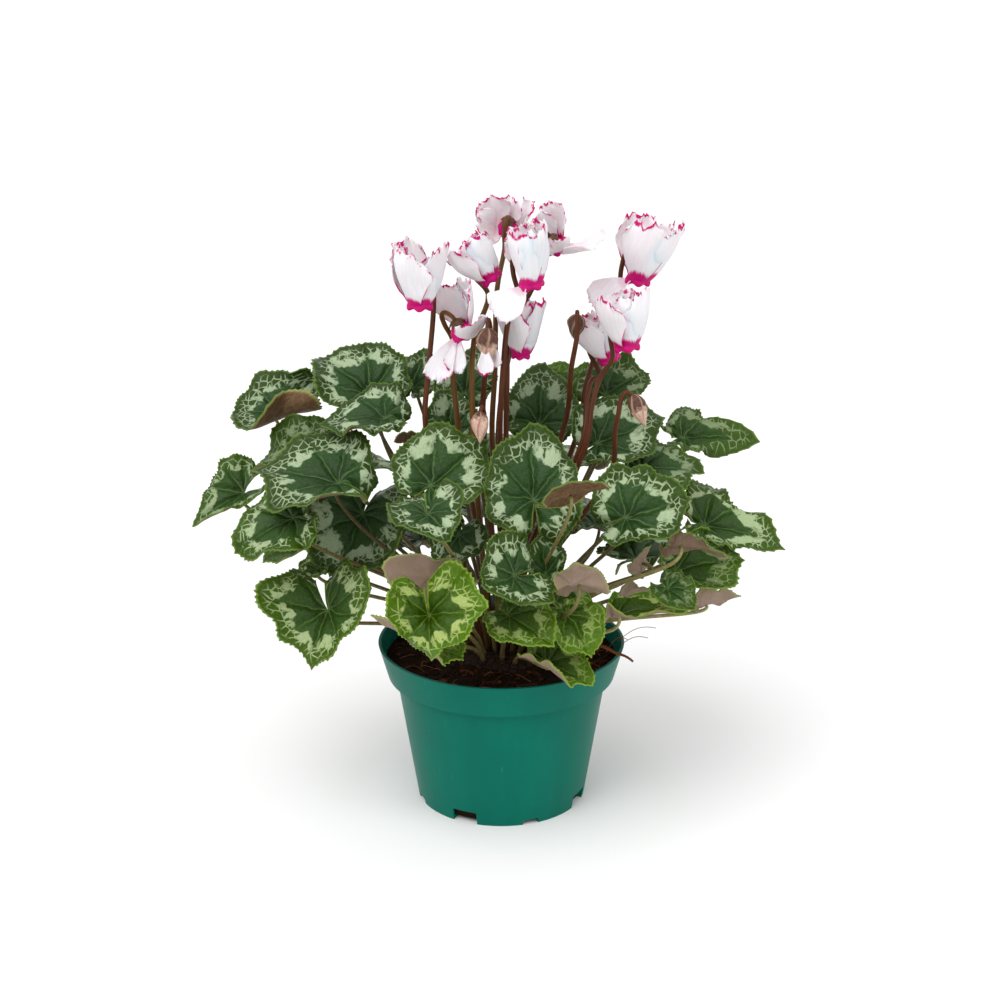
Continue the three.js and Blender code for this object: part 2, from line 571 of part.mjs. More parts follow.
// Each bloom hangs from its stalk with its mouth down and its petals swept back up. mouth is the middle
// of its mouth, up the way its petals sweep, and side the side that its stalk comes up on. via are points
// that the stalk passes on its way up. Each petal has its turn round the bloom from that side, its rise
// (90 stands straight up and -90 hangs straight down) and its share of the bloom's petal length.
const BLOOMS = [
  { stalk: 'stalk_1', mouth: [420, 309, -22], up: [0.05, 0, 1], side: [0.6, 0.8, 0], length: 31,
    via: [[426, 432, -16], [429, 365, -14]] },
  { stalk: 'stalk_2', mouth: [493, 281, -8], up: [-0.6, 0, 0.8], side: [-0.5, 0.6, -0.4], length: 24,
    size: 0.9,
    via: [[473, 427, -12], [474, 340, -10]] },
  { stalk: 'stalk_3', mouth: [532, 288, -20], up: [-0.05, -0.1, 1], side: [-0.75, 0.65, 0], length: 28,
    via: [[500, 438, -14], [503, 370, -18], [509, 318, -18]],
    petals: [[-66, 92, 1], [-123, 90, 1], [172, 92, 1], [112, 98, 1], [58, -30, 0.74]] },
  { stalk: 'stalk_4', mouth: [508, 231, 29], up: [0, -0.65, 0.75], side: [-0.2, -0.7, -0.6], length: 19,
    size: 0.85, via: [[492, 438, 0], [495, 370, 4], [497, 290, 12]],
    petals: [[-60, 55, 1], [-122, 62, 1], [180, 60, 0.8], [122, 62, 1], [60, 55, 0.9]] },
  { stalk: 'stalk_5', mouth: [557, 250, 7], up: [-0.4, -0.45, 0.8], side: [-0.7, 0.6, -0.4], length: 24,
    size: 0.85, via: [[498, 438, 8], [506, 370, 8], [522, 310, 8]],
    petals: [[-60, 90, 0.8], [-112, 84, 1], [168, 34, 1], [118, 70, 0.6], [60, 80, 0.6]] },
  { stalk: 'stalk_6', mouth: [637, 284, 6], up: [0.12, 0, 1], side: [-0.8, 0.6, 0], length: 32,
    via: [[586, 430, 14], [591, 385, 16], [602, 335, 27]],
    petals: [[-56, 90, 1], [-118, 86, 1], [180, 88, 1], [118, 90, 1], [54, -30, 0.75]] },
  { stalk: 'stalk_7', mouth: [623, 350, -16], up: [-0.12, 0, 1], side: [-0.6, 0.8, 0], length: 28,
    via: [[583, 446, -16], [589, 405, -10], [597, 375, -7]] },
  { stalk: 'stalk_7', mouth: [611, 362, 9], up: [-0.45, 0.1, 0.9], side: [-0.7, 0.7, 0], length: 24,
    size: 0.9, via: [[582, 440, -13], [589, 400, -1], [596, 379, 10]] },
  { stalk: 'stalk_9', mouth: [463, 336, -14], up: [-0.35, -0.4, 0.85], side: [-0.8, 0.6, 0.1], length: 25,
    size: 0.9, via: [[459, 431, -8], [452, 360, -8]],
    petals: [[-64, 86, 0.9], [-122, 84, 1], [176, 60, 0.6], [104, -84, 1], [62, -64, 0.9]] },
  { stalk: 'stalk_3', mouth: [521, 358, -4], up: [0, 0, 1], side: [-0.9, 0.4, 0], length: 27, size: 0.74,
    via: [[506, 425, -4], [507, 385, -4]] },
];
const BLOOM_USUAL = {
  side: [0, 1, 0],
  size: 1,
  petals: [[-72, 92, 1], [-126, 90, 1], [180, 94, 1], [126, 90, 1], [72, 92, 1]],
};
const PETAL_FORM = {
  thick: 0.7,
  root: 4.4,
  lift: 1,
  start: -30,
  turned: 0.34,
  stations: [0, 0.26, 0.64, 1],
  halfWidths: [1.9, 5.2, 8.4, 6.2],
  across: [-1, -0.36, 0.36, 1],
  fringe: [-0.06, 0.04, -0.03, 0.03],
  cup: 0.42,
  tilt: 24,
  tilted: 0.3,
  steps: 12,
};
// The bloom's throat, from the dimple in its mouth up to the closed top under the calyx.
const THROAT = [[0, 0.8], [5.2, 0], [5.8, 2.4], [3.4, 7.2], [0, 7.2]];
const CALYX = [[0, 7.5], [3.6, 7.5], [4.1, 8.8], [0, 10.4]];
const HOOK = [[9.4, -5], [9.6, 6], [8.4, 12.5], [4.6, 15], [1, 13], [0, 9.4]];
const BLOOM_SIDES = 7;

function bloomFrame(bloom) {
  const mouth = seen(bloom.mouth);
  const up = new THREE.Vector3(...bloom.up).normalize();
  const side = new THREE.Vector3(...bloom.side);
  side.addScaledVector(up, -side.dot(up)).normalize();
  const turnwise = new THREE.Vector3().crossVectors(up, side);
  return { mouth, up, side, turnwise, size: bloom.size };
}

function inBloom(frame, [out, height]) {
  const point = frame.mouth.clone().addScaledVector(frame.side, frame.size * out);
  return point.addScaledVector(frame.up, frame.size * height);
}

function placedLathe(frame, profile) {
  const geometry = latheZ(profile, BLOOM_SIDES);
  geometry.scale(frame.size, frame.size, frame.size);
  const matrix = new THREE.Matrix4().makeBasis(frame.side, frame.turnwise, frame.up);
  matrix.setPosition(frame.mouth);
  return solidOf(geometry.applyMatrix4(matrix));
}

// The petal leaves the mouth outwards and a little down, then turns back to its own rise.
function petalPath(frame, length, rise, share) {
  const step = (share * length) / PETAL_FORM.steps;
  let out = frame.size * PETAL_FORM.root;
  let height = frame.size * PETAL_FORM.lift;
  let angle = PETAL_FORM.start * DEG;
  for (let i = 0; i < PETAL_FORM.steps; i += 1) {
    const at = (share * (i + 0.5)) / PETAL_FORM.steps;
    const turned = THREE.MathUtils.smoothstep(at, 0, PETAL_FORM.turned);
    angle = THREE.MathUtils.lerp(PETAL_FORM.start, rise, turned) * DEG;
    out += step * Math.cos(angle);
    height += step * Math.sin(angle);
  }
  return { out, height, angle };
}

function petalSolid(bloom, frame, [turn, rise, size]) {
  const around = frame.side.clone().multiplyScalar(Math.cos(turn * DEG));
  around.addScaledVector(frame.turnwise, Math.sin(turn * DEG));
  const sideways = new THREE.Vector3().crossVectors(frame.up, around);
  const last = PETAL_FORM.stations.length - 1;
  const middle = [];
  const normals = [];
  PETAL_FORM.stations.forEach((station, row) => {
    const tilt = PETAL_FORM.tilt * DEG * THREE.MathUtils.smoothstep(station, 0, PETAL_FORM.tilted);
    const half = PETAL_FORM.halfWidths[row] * frame.size * Math.sqrt(size);
    PETAL_FORM.across.forEach((across, column) => {
      const share = station + (row === last ? PETAL_FORM.fringe[column] : 0);
      const { out, height, angle } = petalPath(frame, size * bloom.length, rise, share);
      const outer = around.clone().multiplyScalar(Math.sin(angle));
      outer.addScaledVector(frame.up, -Math.cos(angle));
      const flat = sideways.clone().multiplyScalar(Math.cos(tilt)).addScaledVector(outer, Math.sin(tilt));
      const normal = outer.clone().multiplyScalar(Math.cos(tilt)).addScaledVector(sideways, -Math.sin(tilt));
      const point = frame.mouth.clone().addScaledVector(around, out).addScaledVector(frame.up, height);
      point.addScaledVector(flat, across * half);
      point.addScaledVector(normal, -PETAL_FORM.cup * half * across * across);
      middle.push(point);
      normals.push(normal);
    });
  });
  return gridSheet(middle, normals, last + 1, PETAL_FORM.across.length, PETAL_FORM.thick);
}

function gridSheet(middle, normals, rows, columns, thick) {
  const faces = [];
  for (let row = 0; row < rows - 1; row += 1) {
    for (let column = 0; column < columns - 1; column += 1) {
      const a = row * columns + column;
      faces.push([a, a + 1, a + columns + 1]);
      faces.push([a, a + columns + 1, a + columns]);
    }
  }
  const edge = [];
  for (let column = 0; column < columns - 1; column += 1) {
    edge.push(column);
  }
  for (let row = 0; row < rows - 1; row += 1) {
    edge.push(row * columns + columns - 1);
  }
  for (let column = columns - 1; column > 0; column -= 1) {
    edge.push((rows - 1) * columns + column);
  }
  for (let row = rows - 1; row > 0; row -= 1) {
    edge.push(row * columns);
  }
  return sheetSolid(middle, normals, faces, edge, thick);
}

function bloomSolid(bloom) {
  const frame = bloomFrame(bloom);
  const petals = bloom.petals.map((petal) => petalSolid(bloom, frame, petal));
  return joined([placedLathe(frame, THROAT), ...petals]);
}

// A stalk rises from the tuber through its points, passes up beside the mouth and hooks into the calyx.
function stalkCurve(foot, via, hook) {
  const way = via.map(seen);
  const lift = foot.point.clone().addScaledVector(foot.out, STALK.lift * foot.point.distanceTo(way[0]));
  return new THREE.CatmullRomCurve3([foot.point, lift, ...way, ...hook]);
}

function bloomStalk(bloom, foot) {
  const frame = bloomFrame(bloom);
  const curve = stalkCurve(foot, bloom.via, HOOK.map((place) => inBloom(frame, place)));
  const stalk = stemSolid(curve, curve.points.length - 1, STALK.sides, STALK.base, STALK.top);
  return stalk.add(placedLathe(frame, CALYX));
}

// The buds nod from the hook of their stalk. top is where the stalk meets the bud and tip its point.
const BUDS = [
  { node: 'bud_1', top: [487, 327, -26], tip: [489, 379, -26], side: [0.2, 1, 0], radius: 5,
    via: [[483, 408, -4], [487, 360, -10]] },
  { node: 'bud_2', top: [577, 314, -8], tip: [575, 340, -6], side: [0, -1, 0], radius: 4.2,
    via: [[566, 420, 4], [571, 370, -10]] },
  { node: 'bud_3', top: [632, 394, -34], tip: [646, 427, -36], side: [-1, 0, 0.1], radius: 4,
    via: [[611, 472, -22], [614, 440, -30]] },
  { node: 'bud_4', top: [480, 411, -30], tip: [480, 444, -34], side: [0.3, 0.9, 0], radius: 4,
    via: [[484, 450, -20]] },
];
// A bud's outline as shares of its length from its top and of its radius.
const BUD_FORM = [[0, 0], [0.06, 0.5], [0.28, 1], [0.55, 0.86], [0.82, 0.36], [1, 0]];
const BUD_HOOK = [[1.6, 0.8], [1.35, 0.1], [0.7, -0.25]];

function budSolid(bud, foot) {
  const top = seen(bud.top);
  const down = seen(bud.tip).sub(top);
  const length = down.length();
  down.normalize();
  const side = new THREE.Vector3(...bud.side);
  side.addScaledVector(down, -side.dot(down)).normalize();
  const turnwise = new THREE.Vector3().crossVectors(down, side);
  const profile = BUD_FORM.map(([along, out]) => [out * bud.radius, along * length]);
  const matrix = new THREE.Matrix4().makeBasis(side, turnwise, down);
  matrix.setPosition(top);
  const body = solidOf(latheZ(profile, BLOOM_SIDES).applyMatrix4(matrix));
  const place = ([out, along]) =>
    top.clone().addScaledVector(side, out * bud.radius).addScaledVector(down, along * 2 * bud.radius);
  const curve = stalkCurve(foot, bud.via, [...BUD_HOOK.map(place), place([0, 0.1])]);
  const stalk = stemSolid(curve, curve.points.length - 1, STALK.sides, STALK.base, STALK.top);
  return stalk.add(body);
}

function makeBlooms(feet) {
  const blooms = BLOOMS.map((given) => ({ ...BLOOM_USUAL, ...given }));
  const corollas = blooms.map((bloom, i) => piece(`bloom_${i + 1}`, geometryOf(bloomSolid(bloom)), PETAL));
  const stalks = fused(blooms.map((bloom) => [bloom.stalk, bloomStalk(bloom, feet.get(bloom.stalk))]), STEM);
  return [...corollas, ...stalks];
}

function makeBuds(feet) {
  return BUDS.map((bud) => piece(bud.node, geometryOf(budSolid(bud, feet.get(bud.node))), STEM));
}

const stemEnds = [
  ...ALL_LEAVES.map((leaf) => [leaf.node, leaf.heart]),
  ...BLOOMS.map((bloom) => [bloom.stalk, bloom.via[0]]),
  ...BUDS.map((bud) => [bud.node, bud.via[0]]),
];
const feet = spreadFeet(stemEnds);

const plant = new THREE.Group();
plant.add(piece('pot', makePot(), PLASTIC));
plant.add(piece('soil', makeSoil(), PEAT));
plant.add(piece('tuber', latheZ(tuberProfile(0), TUBER.sides), CORM));
makeLeaves(feet).forEach((mesh) => plant.add(mesh));
makeBlooms(feet).forEach((mesh) => plant.add(mesh));
makeBuds(feet).forEach((mesh) => plant.add(mesh));

export default plant;
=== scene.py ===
"""A potted cyclamen in bloom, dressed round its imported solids. Lengths are in millimetres until a
piece is fixed, which turns them to metres."""
import json
import math
import random
from functools import partial

import bmesh
import bpy
from mathutils import Matrix, Vector, noise

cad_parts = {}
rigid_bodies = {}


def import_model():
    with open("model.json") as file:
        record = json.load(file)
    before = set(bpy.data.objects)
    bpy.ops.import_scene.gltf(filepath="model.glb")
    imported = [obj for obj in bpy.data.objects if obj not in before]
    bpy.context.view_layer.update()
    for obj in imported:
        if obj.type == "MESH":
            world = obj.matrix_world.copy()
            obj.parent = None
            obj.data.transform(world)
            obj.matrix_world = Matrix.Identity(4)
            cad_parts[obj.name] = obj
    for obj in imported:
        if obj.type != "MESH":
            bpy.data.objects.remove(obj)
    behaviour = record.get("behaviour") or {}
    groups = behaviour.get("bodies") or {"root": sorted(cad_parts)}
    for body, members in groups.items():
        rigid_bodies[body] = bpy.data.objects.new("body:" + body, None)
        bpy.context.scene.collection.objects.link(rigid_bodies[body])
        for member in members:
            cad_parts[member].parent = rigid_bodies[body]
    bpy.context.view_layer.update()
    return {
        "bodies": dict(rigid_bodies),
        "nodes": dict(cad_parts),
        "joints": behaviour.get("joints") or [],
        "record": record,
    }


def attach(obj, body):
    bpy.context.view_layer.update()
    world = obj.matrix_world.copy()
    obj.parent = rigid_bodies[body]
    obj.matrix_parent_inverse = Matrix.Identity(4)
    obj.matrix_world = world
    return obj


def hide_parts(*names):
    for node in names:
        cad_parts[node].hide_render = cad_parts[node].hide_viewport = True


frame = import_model()


# The camera stands in front of the pot's middle and looks 18 degrees down at it, as in the photograph.
# Leaves and blooms are placed where they are seen from this point, at a chosen depth behind it.
view_back = 805
view_height = 413
view_pitch = math.radians(18)
view_focal = 1776
picture_middle = (501.3, 500)
picture_side = 1000
sensor_width = 36
MM = 0.001

camera_data = bpy.data.cameras.new("camera")
camera_data.sensor_width = sensor_width
camera_data.lens = view_focal / picture_side * sensor_width
camera_data.shift_x = 0.5 - picture_middle[0] / picture_side
camera = bpy.data.objects.new("camera", camera_data)
camera.location = (0, -view_back * MM, view_height * MM)
camera.rotation_euler = (math.pi / 2 - view_pitch, 0, 0)
bpy.context.scene.collection.objects.link(camera)
bpy.context.scene.camera = camera


def seen(place):
    """The place that is seen at (u, v) of the picture, at a depth behind the pot's middle. A Vector is a
    place already."""
    if isinstance(place, Vector):
        return place.copy()
    u, v, depth = place
    across = (u - picture_middle[0]) / view_focal
    down = (v - picture_middle[1]) / view_focal
    reach = (depth + view_back) / (math.cos(view_pitch) - down * math.sin(view_pitch))
    drop = (math.sin(view_pitch) + down * math.cos(view_pitch)) * reach
    return Vector((across * reach, depth, view_height - drop))


# The table is a wide matt white board. A broad, soft key light comes from above the camera's left, and
# weak soft boxes at both sides and the white surroundings fill its shadows.
def linear(colour):
    """An sRGB hex colour as linear red, green, blue and alpha."""
    parts = [int(colour[i : i + 2], 16) / 255 for i in (1, 3, 5)]
    return [c / 12.92 if c <= 0.04045 else ((c + 0.055) / 1.055) ** 2.4 for c in parts] + [1.0]


def add_node(tree, kind, joins=(), out=0, **settings):
    """Adds a node with its settings. joins gives each input a value or the output that feeds it, in order,
    or by name or number: a Map Range takes its value, its range and what that becomes, and a colour Mix has
    its share at 0, its colours at 6 and 7, and its result at 2."""
    node = tree.nodes.new("ShaderNode" + kind)
    for name, value in settings.items():
        setattr(node, name, value)
    for socket, value in joins.items() if isinstance(joins, dict) else enumerate(joins):
        if isinstance(value, bpy.types.NodeSocket):
            tree.links.new(value, node.inputs[socket])
        else:
            node.inputs[socket].default_value = value
    return node.outputs[out]


def new_finish(name, **sockets):
    """A finish with one surface shader, whose fixed values are given by socket."""
    finish = bpy.data.materials.new(name)
    finish.use_nodes = True
    shader = finish.node_tree.nodes["Principled BSDF"]
    for socket, value in sockets.items():
        shader.inputs[socket.replace("_", " ")].default_value = value
    return finish, shader, partial(add_node, finish.node_tree)


def placed(name, bm, *finishes):
    """Ends a mesh in the making: an object of that name, in its finishes, in the scene."""
    mesh = bpy.data.meshes.new(name)
    bm.to_mesh(mesh)
    bm.free()
    for finish in finishes:
        mesh.materials.append(finish)
    made = bpy.data.objects.new(name, mesh)
    bpy.context.scene.collection.objects.link(made)
    return made


world_strength = 0.95
table_half = 20

world = bpy.data.worlds.new("studio")
world.use_nodes = True
world.node_tree.nodes["Background"].inputs["Color"].default_value = linear("#ffffff")
world.node_tree.nodes["Background"].inputs["Strength"].default_value = world_strength
bpy.context.scene.world = world
bpy.context.scene.view_settings.view_transform = "Standard"

for name, place, size, power in (
    ("left_box", (-1.1, -1.1, 1.1), 0.9, 3),
    ("right_box", (1.2, -0.7, 1.0), 0.8, 3),
):
    light = bpy.data.lights.new(name, "AREA")
    light.size = size
    light.energy = power
    lamp = bpy.data.objects.new(name, light)
    lamp.location = place
    aim = Vector((0, 0, 0.15)) - Vector(place)
    lamp.rotation_euler = aim.to_track_quat("-Z", "Y").to_euler()
    bpy.context.scene.collection.objects.link(lamp)

key = bpy.data.lights.new("key", "SUN")
key.angle = math.radians(45)
key.energy = 1.5
key_lamp = bpy.data.objects.new("key", key)
key_lamp.rotation_euler = Vector((0.4, 0.55, -1.0)).to_track_quat("-Z", "Y").to_euler()
bpy.context.scene.collection.objects.link(key_lamp)

table_finish, table_shader, add = new_finish("matt white board", Roughness=0.9)
table_shader.inputs["Base Color"].default_value = linear("#ebebeb")
table_bm = bmesh.new()
bmesh.ops.create_grid(table_bm, x_segments=1, y_segments=1, size=table_half)
placed("table", table_bm, table_finish)


# The pot is a thin-walled 12 cm nursery pot, injection-moulded in green polypropylene. A wider collar
# stiffens its rim, and drain notches are cut round its foot, deep and shallow by turns.
pot_rim = 60
pot_collar_foot = 55.5
pot_neck = 51.6
pot_base = 41.4
pot_height = 80
pot_collar = 16
pot_wall = 1.4
pot_floor = 1.8
pot_steps = 160
pot_edge = 0.45
notch_count = 8
notch_turn = -25
notch_corner = 0.9
notch_inward = 5
deep_notch = (12.5, 6.5)
shallow_notch = (8, 2.4)
seat = pot_height - pot_collar
ledge = seat + pot_wall


def between(low, high, share):
    """The value at a share of the way from low to high."""
    return low + (high - low) * share


def wall_inside(height):
    """The radius inside the pot's tapered wall at a height."""
    return between(pot_base, pot_neck, (height - pot_floor) / (ledge - pot_floor)) - pot_wall


def collar_inside(height):
    """The radius inside the collar at a height."""
    return between(pot_collar_foot, pot_rim, (height - ledge) / (pot_height - ledge)) - pot_wall


def turned(bm, profile, steps):
    """Turns a profile of radii and heights about the upright axis to a closed body."""
    verts = [bm.verts.new((radius, 0, height)) for radius, height in profile]
    edges = [bm.edges.new(pair) for pair in zip(verts, verts[1:])]
    bmesh.ops.spin(
        bm, geom=verts + edges, cent=(0, 0, 0), axis=(0, 0, 1), angle=math.tau, steps=steps, use_merge=True
    )
    bmesh.ops.remove_doubles(bm, verts=bm.verts, dist=0.001)
    bmesh.ops.recalc_face_normals(bm, faces=bm.faces)


def fixed(name, bm, finishes, slot, *nodes):
    """Ends a piece: to metres, smooth, in its finishes, and in the place of its nodes."""
    bmesh.ops.scale(bm, vec=(MM, MM, MM), verts=bm.verts)
    made = placed(name, bm, *finishes)
    made.data.shade_smooth()
    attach(made, "root")
    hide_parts(*nodes)
    return made


def feed(shader, **outputs):
    """Joins outputs to the surface shader's sockets."""
    for socket, output in outputs.items():
        shader.id_data.links.new(output, shader.inputs[socket.replace("_", " ")])


# What makes a Mix node one of colours.
of_colours = {"out": 2, "data_type": "RGBA"}

# Polypropylene is satin and slightly waxy. The mould leaves faint upright flow marks 17 mm apart and a fine
# peel of 1.4 mm, and use leaves scuffs 1 mm wide (a real one is finer, too fine to show) and a dull bloom.
pot_finish, shader, add = new_finish("moulded green polypropylene", Specular_IOR_Level=0.09)
here = add("TexCoord", out="Object")
flow = add("Mapping", {"Vector": here, "Scale": (60, 60, 6)})
streaks = add("TexNoise", {"Vector": flow, "Scale": 1.0, "Detail": 3.0})
clouds = add("TexNoise", {"Vector": here, "Scale": 28.0, "Detail": 3.0})
tone = add("Math", [streaks, clouds], operation="MULTIPLY")
tone = add("MapRange", [tone, 0.15, 0.4])
plastic = add("Mix", {0: tone, 6: linear("#006051"), 7: linear("#006857")}, **of_colours)
scuff_run = add("Mapping", {"Vector": here, "Rotation": (0.5, 0.3, 0.0), "Scale": (900, 900, 60)})
scuffs = add("TexNoise", {"Vector": scuff_run, "Scale": 1.0, "Detail": 2.0})
scuffs = add("MapRange", [scuffs, 0.66, 0.78])
worn = add("TexNoise", {"Vector": here, "Scale": 45.0})
worn = add("MapRange", [worn, 0.52, 0.75, 0.0, 0.35])
scuffs = add("Math", [scuffs, worn], operation="MULTIPLY")
plastic = add("Mix", {0: scuffs, 6: plastic, 7: linear("#5f9c8c")}, **of_colours)
gloss = add("MapRange", [clouds, 0.3, 0.7, 0.33, 0.46])
peel = add("TexNoise", {"Vector": here, "Scale": 700.0, "Detail": 2.0})
peel = add("Math", [peel, streaks], operation="ADD")
relief = add("Bump", {"Height": peel, "Strength": 0.12, "Distance": 0.0004}, out="Normal")
feed(shader, Base_Color=plastic, Roughness=gloss, Normal=relief)

pot_bm = bmesh.new()
pot_profile = [
    (0, 0),
    (pot_base, 0),
    (pot_neck, seat),
    (pot_collar_foot, seat),
    (pot_rim, pot_height),
    (collar_inside(pot_height), pot_height),
    (collar_inside(ledge), ledge),
    (wall_inside(ledge), ledge),
    (wall_inside(pot_floor), pot_floor),
    (0, pot_floor),
]
turned(pot_bm, pot_profile, pot_steps)
pot = fixed("pot_moulded", pot_bm, [pot_finish], "pot_plastic", "pot")

notch_bm = bmesh.new()
for i in range(notch_count):
    width, height = shallow_notch if i % 2 else deep_notch
    block = bmesh.new()
    bmesh.ops.create_cube(block, size=1)
    bmesh.ops.scale(block, vec=(width, 2 * notch_inward, 2 * height), verts=block.verts)
    corners = [e for e in block.edges if abs(e.verts[0].co.y - e.verts[1].co.y) > 1]
    bmesh.ops.bevel(
        block, geom=corners, offset=notch_corner, affect="EDGES", segments=3, profile=0.5, material=-1
    )
    bmesh.ops.translate(block, vec=(0, -pot_base, 0), verts=block.verts)
    turn = Matrix.Rotation(math.radians(notch_turn + 360 / notch_count * i), 3, "Z")
    bmesh.ops.rotate(block, cent=(0, 0, 0), matrix=turn, verts=block.verts)
    bmesh.ops.scale(block, vec=(MM, MM, MM), verts=block.verts)
    block_mesh = bpy.data.meshes.new("notch")
    block.to_mesh(block_mesh)
    block.free()
    notch_bm.from_mesh(block_mesh)
notches = placed("notches", notch_bm)
cut = pot.modifiers.new("notches", "BOOLEAN")
cut.operation = "DIFFERENCE"
cut.solver = "EXACT"
cut.object = notches
edge = pot.modifiers.new("edges", "BEVEL")
edge.width = pot_edge * MM
edge.segments = 3
edge.limit_method = "ANGLE"
edge.angle_limit = math.radians(25)
edge.harden_normals = True
whole = bpy.data.meshes.new_from_object(pot.evaluated_get(bpy.context.evaluated_depsgraph_get()))
pot.modifiers.clear()
pot.data = whole
bpy.data.objects.remove(notches)


# The tuber is a flat brown corm that sits half out of the peat and carries every stem. Its skin is
# corky and cracked.
tuber_radius = 28
tuber_half = 13
tuber_middle = 65
tuber_axes = Vector((tuber_radius, tuber_radius, tuber_half))

# Corky skin is dull and dark, mottled in specks of 3 mm between cracks 4 mm apart.
corm_finish, shader, add = new_finish("corky corm skin", Roughness=0.9, Specular_IOR_Level=0.15)
here = add("TexCoord", out="Object")
bark = add("TexNoise", {"Vector": here, "Scale": 320.0, "Detail": 5.0})
skin = add("Mix", {0: bark, 6: linear("#150e09"), 7: linear("#3a291c")}, **of_colours)
cracks = add("TexVoronoi", {"Vector": here, "Scale": 260.0}, feature="DISTANCE_TO_EDGE")
cracks = add("MapRange", [cracks, 0.0, 0.12])
skin = add("Mix", {0: cracks, 6: linear("#120b07"), 7: skin}, **of_colours)
rough = add("Math", [cracks, bark], operation="MULTIPLY")
relief = add("Bump", {"Height": rough, "Strength": 0.7, "Distance": 0.001}, out="Normal")
feed(shader, Base_Color=skin, Normal=relief)

tuber_bm = bmesh.new()
bmesh.ops.create_icosphere(tuber_bm, subdivisions=5, radius=1)
for vert in tuber_bm.verts:
    swell = 1 + 0.02 * noise.noise(vert.co * 3) + 0.012 * noise.noise(vert.co * 9)
    vert.co = tuber_axes * vert.co * swell
bmesh.ops.translate(tuber_bm, vec=(0, 0, tuber_middle), verts=tuber_bm.verts)
fixed("corm", tuber_bm, [corm_finish], "corm", "tuber")


# The soil is potting peat, pressed in by hand a little below the rim and open round the tuber. Crumbs
# and red-brown coir fibres lie in it, and a dry twig lies over the rim at the right.
soil_level = 73.2
soil_swell = 1.1
soil_gap = 0.3
soil_steps = 150
soil_ring = 1.4
hollow_steps = 8
crumb_count = 420
crumb_margin = 1.5
fibre_count = 170
fibre_margin = 3
flat_unit = 100

# Moist peat is dull and nearly black, in grains of 1.5 mm and clods of 9 mm, and its fibres are red-brown.
# The look holds how fibrous a face is (X) and how pale that fibre is (Y).
peat_finish, shader, add = new_finish("potting peat with coir", Roughness=0.95, Specular_IOR_Level=0.1)
here = add("TexCoord", out="Object")
grain = add("TexNoise", {"Vector": here, "Scale": 650.0, "Detail": 6.0, "Roughness": 0.7})
clods = add("TexNoise", {"Vector": here, "Scale": 110.0, "Detail": 3.0})
earth = add("Mix", {0: grain, 6: linear("#080402"), 7: linear("#34200f")}, **of_colours)
damp = add("MapRange", [clods, 0.35, 0.65, 0.0, 0.6])
earth = add("Mix", {0: damp, 6: earth, 7: linear("#0e0704")}, **of_colours)
looks = add("SeparateXYZ", [add("Attribute", out="Vector", attribute_name="look")]).node.outputs
stringy = add("Mix", {0: looks["Y"], 6: linear("#5a2817"), 7: linear("#7d5433")}, **of_colours)
earth = add("Mix", {0: looks["X"], 6: earth, 7: stringy}, **of_colours)
relief = add("Bump", {"Height": grain, "Strength": 0.8, "Distance": 0.0012}, out="Normal")
feed(shader, Base_Color=earth, Normal=relief)


def new_piece():
    """An empty piece whose faces carry two UV maps and a note of their look. The flat map gives lengths
    over the surface, in units of 100 mm, and the rim map gives shares of the way across and along it."""
    bm = bmesh.new()
    bm.loops.layers.uv.new("flat")
    bm.loops.layers.uv.new("rim")
    bm.faces.layers.float_vector.new("look")
    return bm


def laid_grid(bm, columns, rows, form, look=(0, 0, 0), finish=0):
    """Lays a grid of faces. form(x, y), with x and y from 0 to 1, gives each point its place and UVs."""
    made = bmesh.ops.create_grid(bm, x_segments=columns, y_segments=rows, size=0.5)["verts"]
    formed = {vert: form(vert.co.x + 0.5, vert.co.y + 0.5) for vert in made}
    faces = list(dict.fromkeys(face for vert in made for face in vert.link_faces))
    flat = bm.loops.layers.uv["flat"]
    rim = bm.loops.layers.uv["rim"]
    note = bm.faces.layers.float_vector["look"]
    for face in faces:
        face[note] = look
        face.material_index = finish
        for loop in face.loops:
            loop[flat].uv, loop[rim].uv = formed[loop.vert][1:]
    for vert, (place, _, _) in formed.items():
        vert.co = place
    bmesh.ops.remove_doubles(bm, verts=made, dist=0.002)
    return [face for face in faces if face.is_valid]


def square_to(way, axis):
    """The unit way that is nearest to a way and square to an axis."""
    return (way - axis * way.dot(axis)).normalized()


def way_round(first, second, turn):
    """The way at a turn from the first way towards the second, which is square to it."""
    return first * math.cos(turn) + second * math.sin(turn)


def laid_stem(bm, path, thickness, sides, steps, look=(0, 0, 0), finish=0):
    """Lays a round stem along path(share), which gives points, with a closed end at its foot and top."""
    places = [path(i / steps) for i in range(steps + 1)]
    ways = [(places[min(i + 1, steps)] - places[max(i - 1, 0)]).normalized() for i in range(steps + 1)]
    across = Vector((1, 0, 0))
    frames = []
    run = [0]
    for i, way in enumerate(ways):
        across = square_to(across, way)
        frames.append((across.copy(), way.cross(across)))
        run.append(run[-1] + (places[min(i + 1, steps)] - places[i]).length)

    def form(x, y):
        row = round(y * (steps + 2)) - 1
        level = min(max(row, 0), steps)
        radius = thickness(level / steps) if 0 <= row <= steps else 0
        place = places[level] + way_round(*frames[level], x * math.tau) * radius
        return place, (x * 0.05, run[level] / flat_unit), (x, level / steps)

    return laid_grid(bm, sides, steps + 2, form, look, finish)


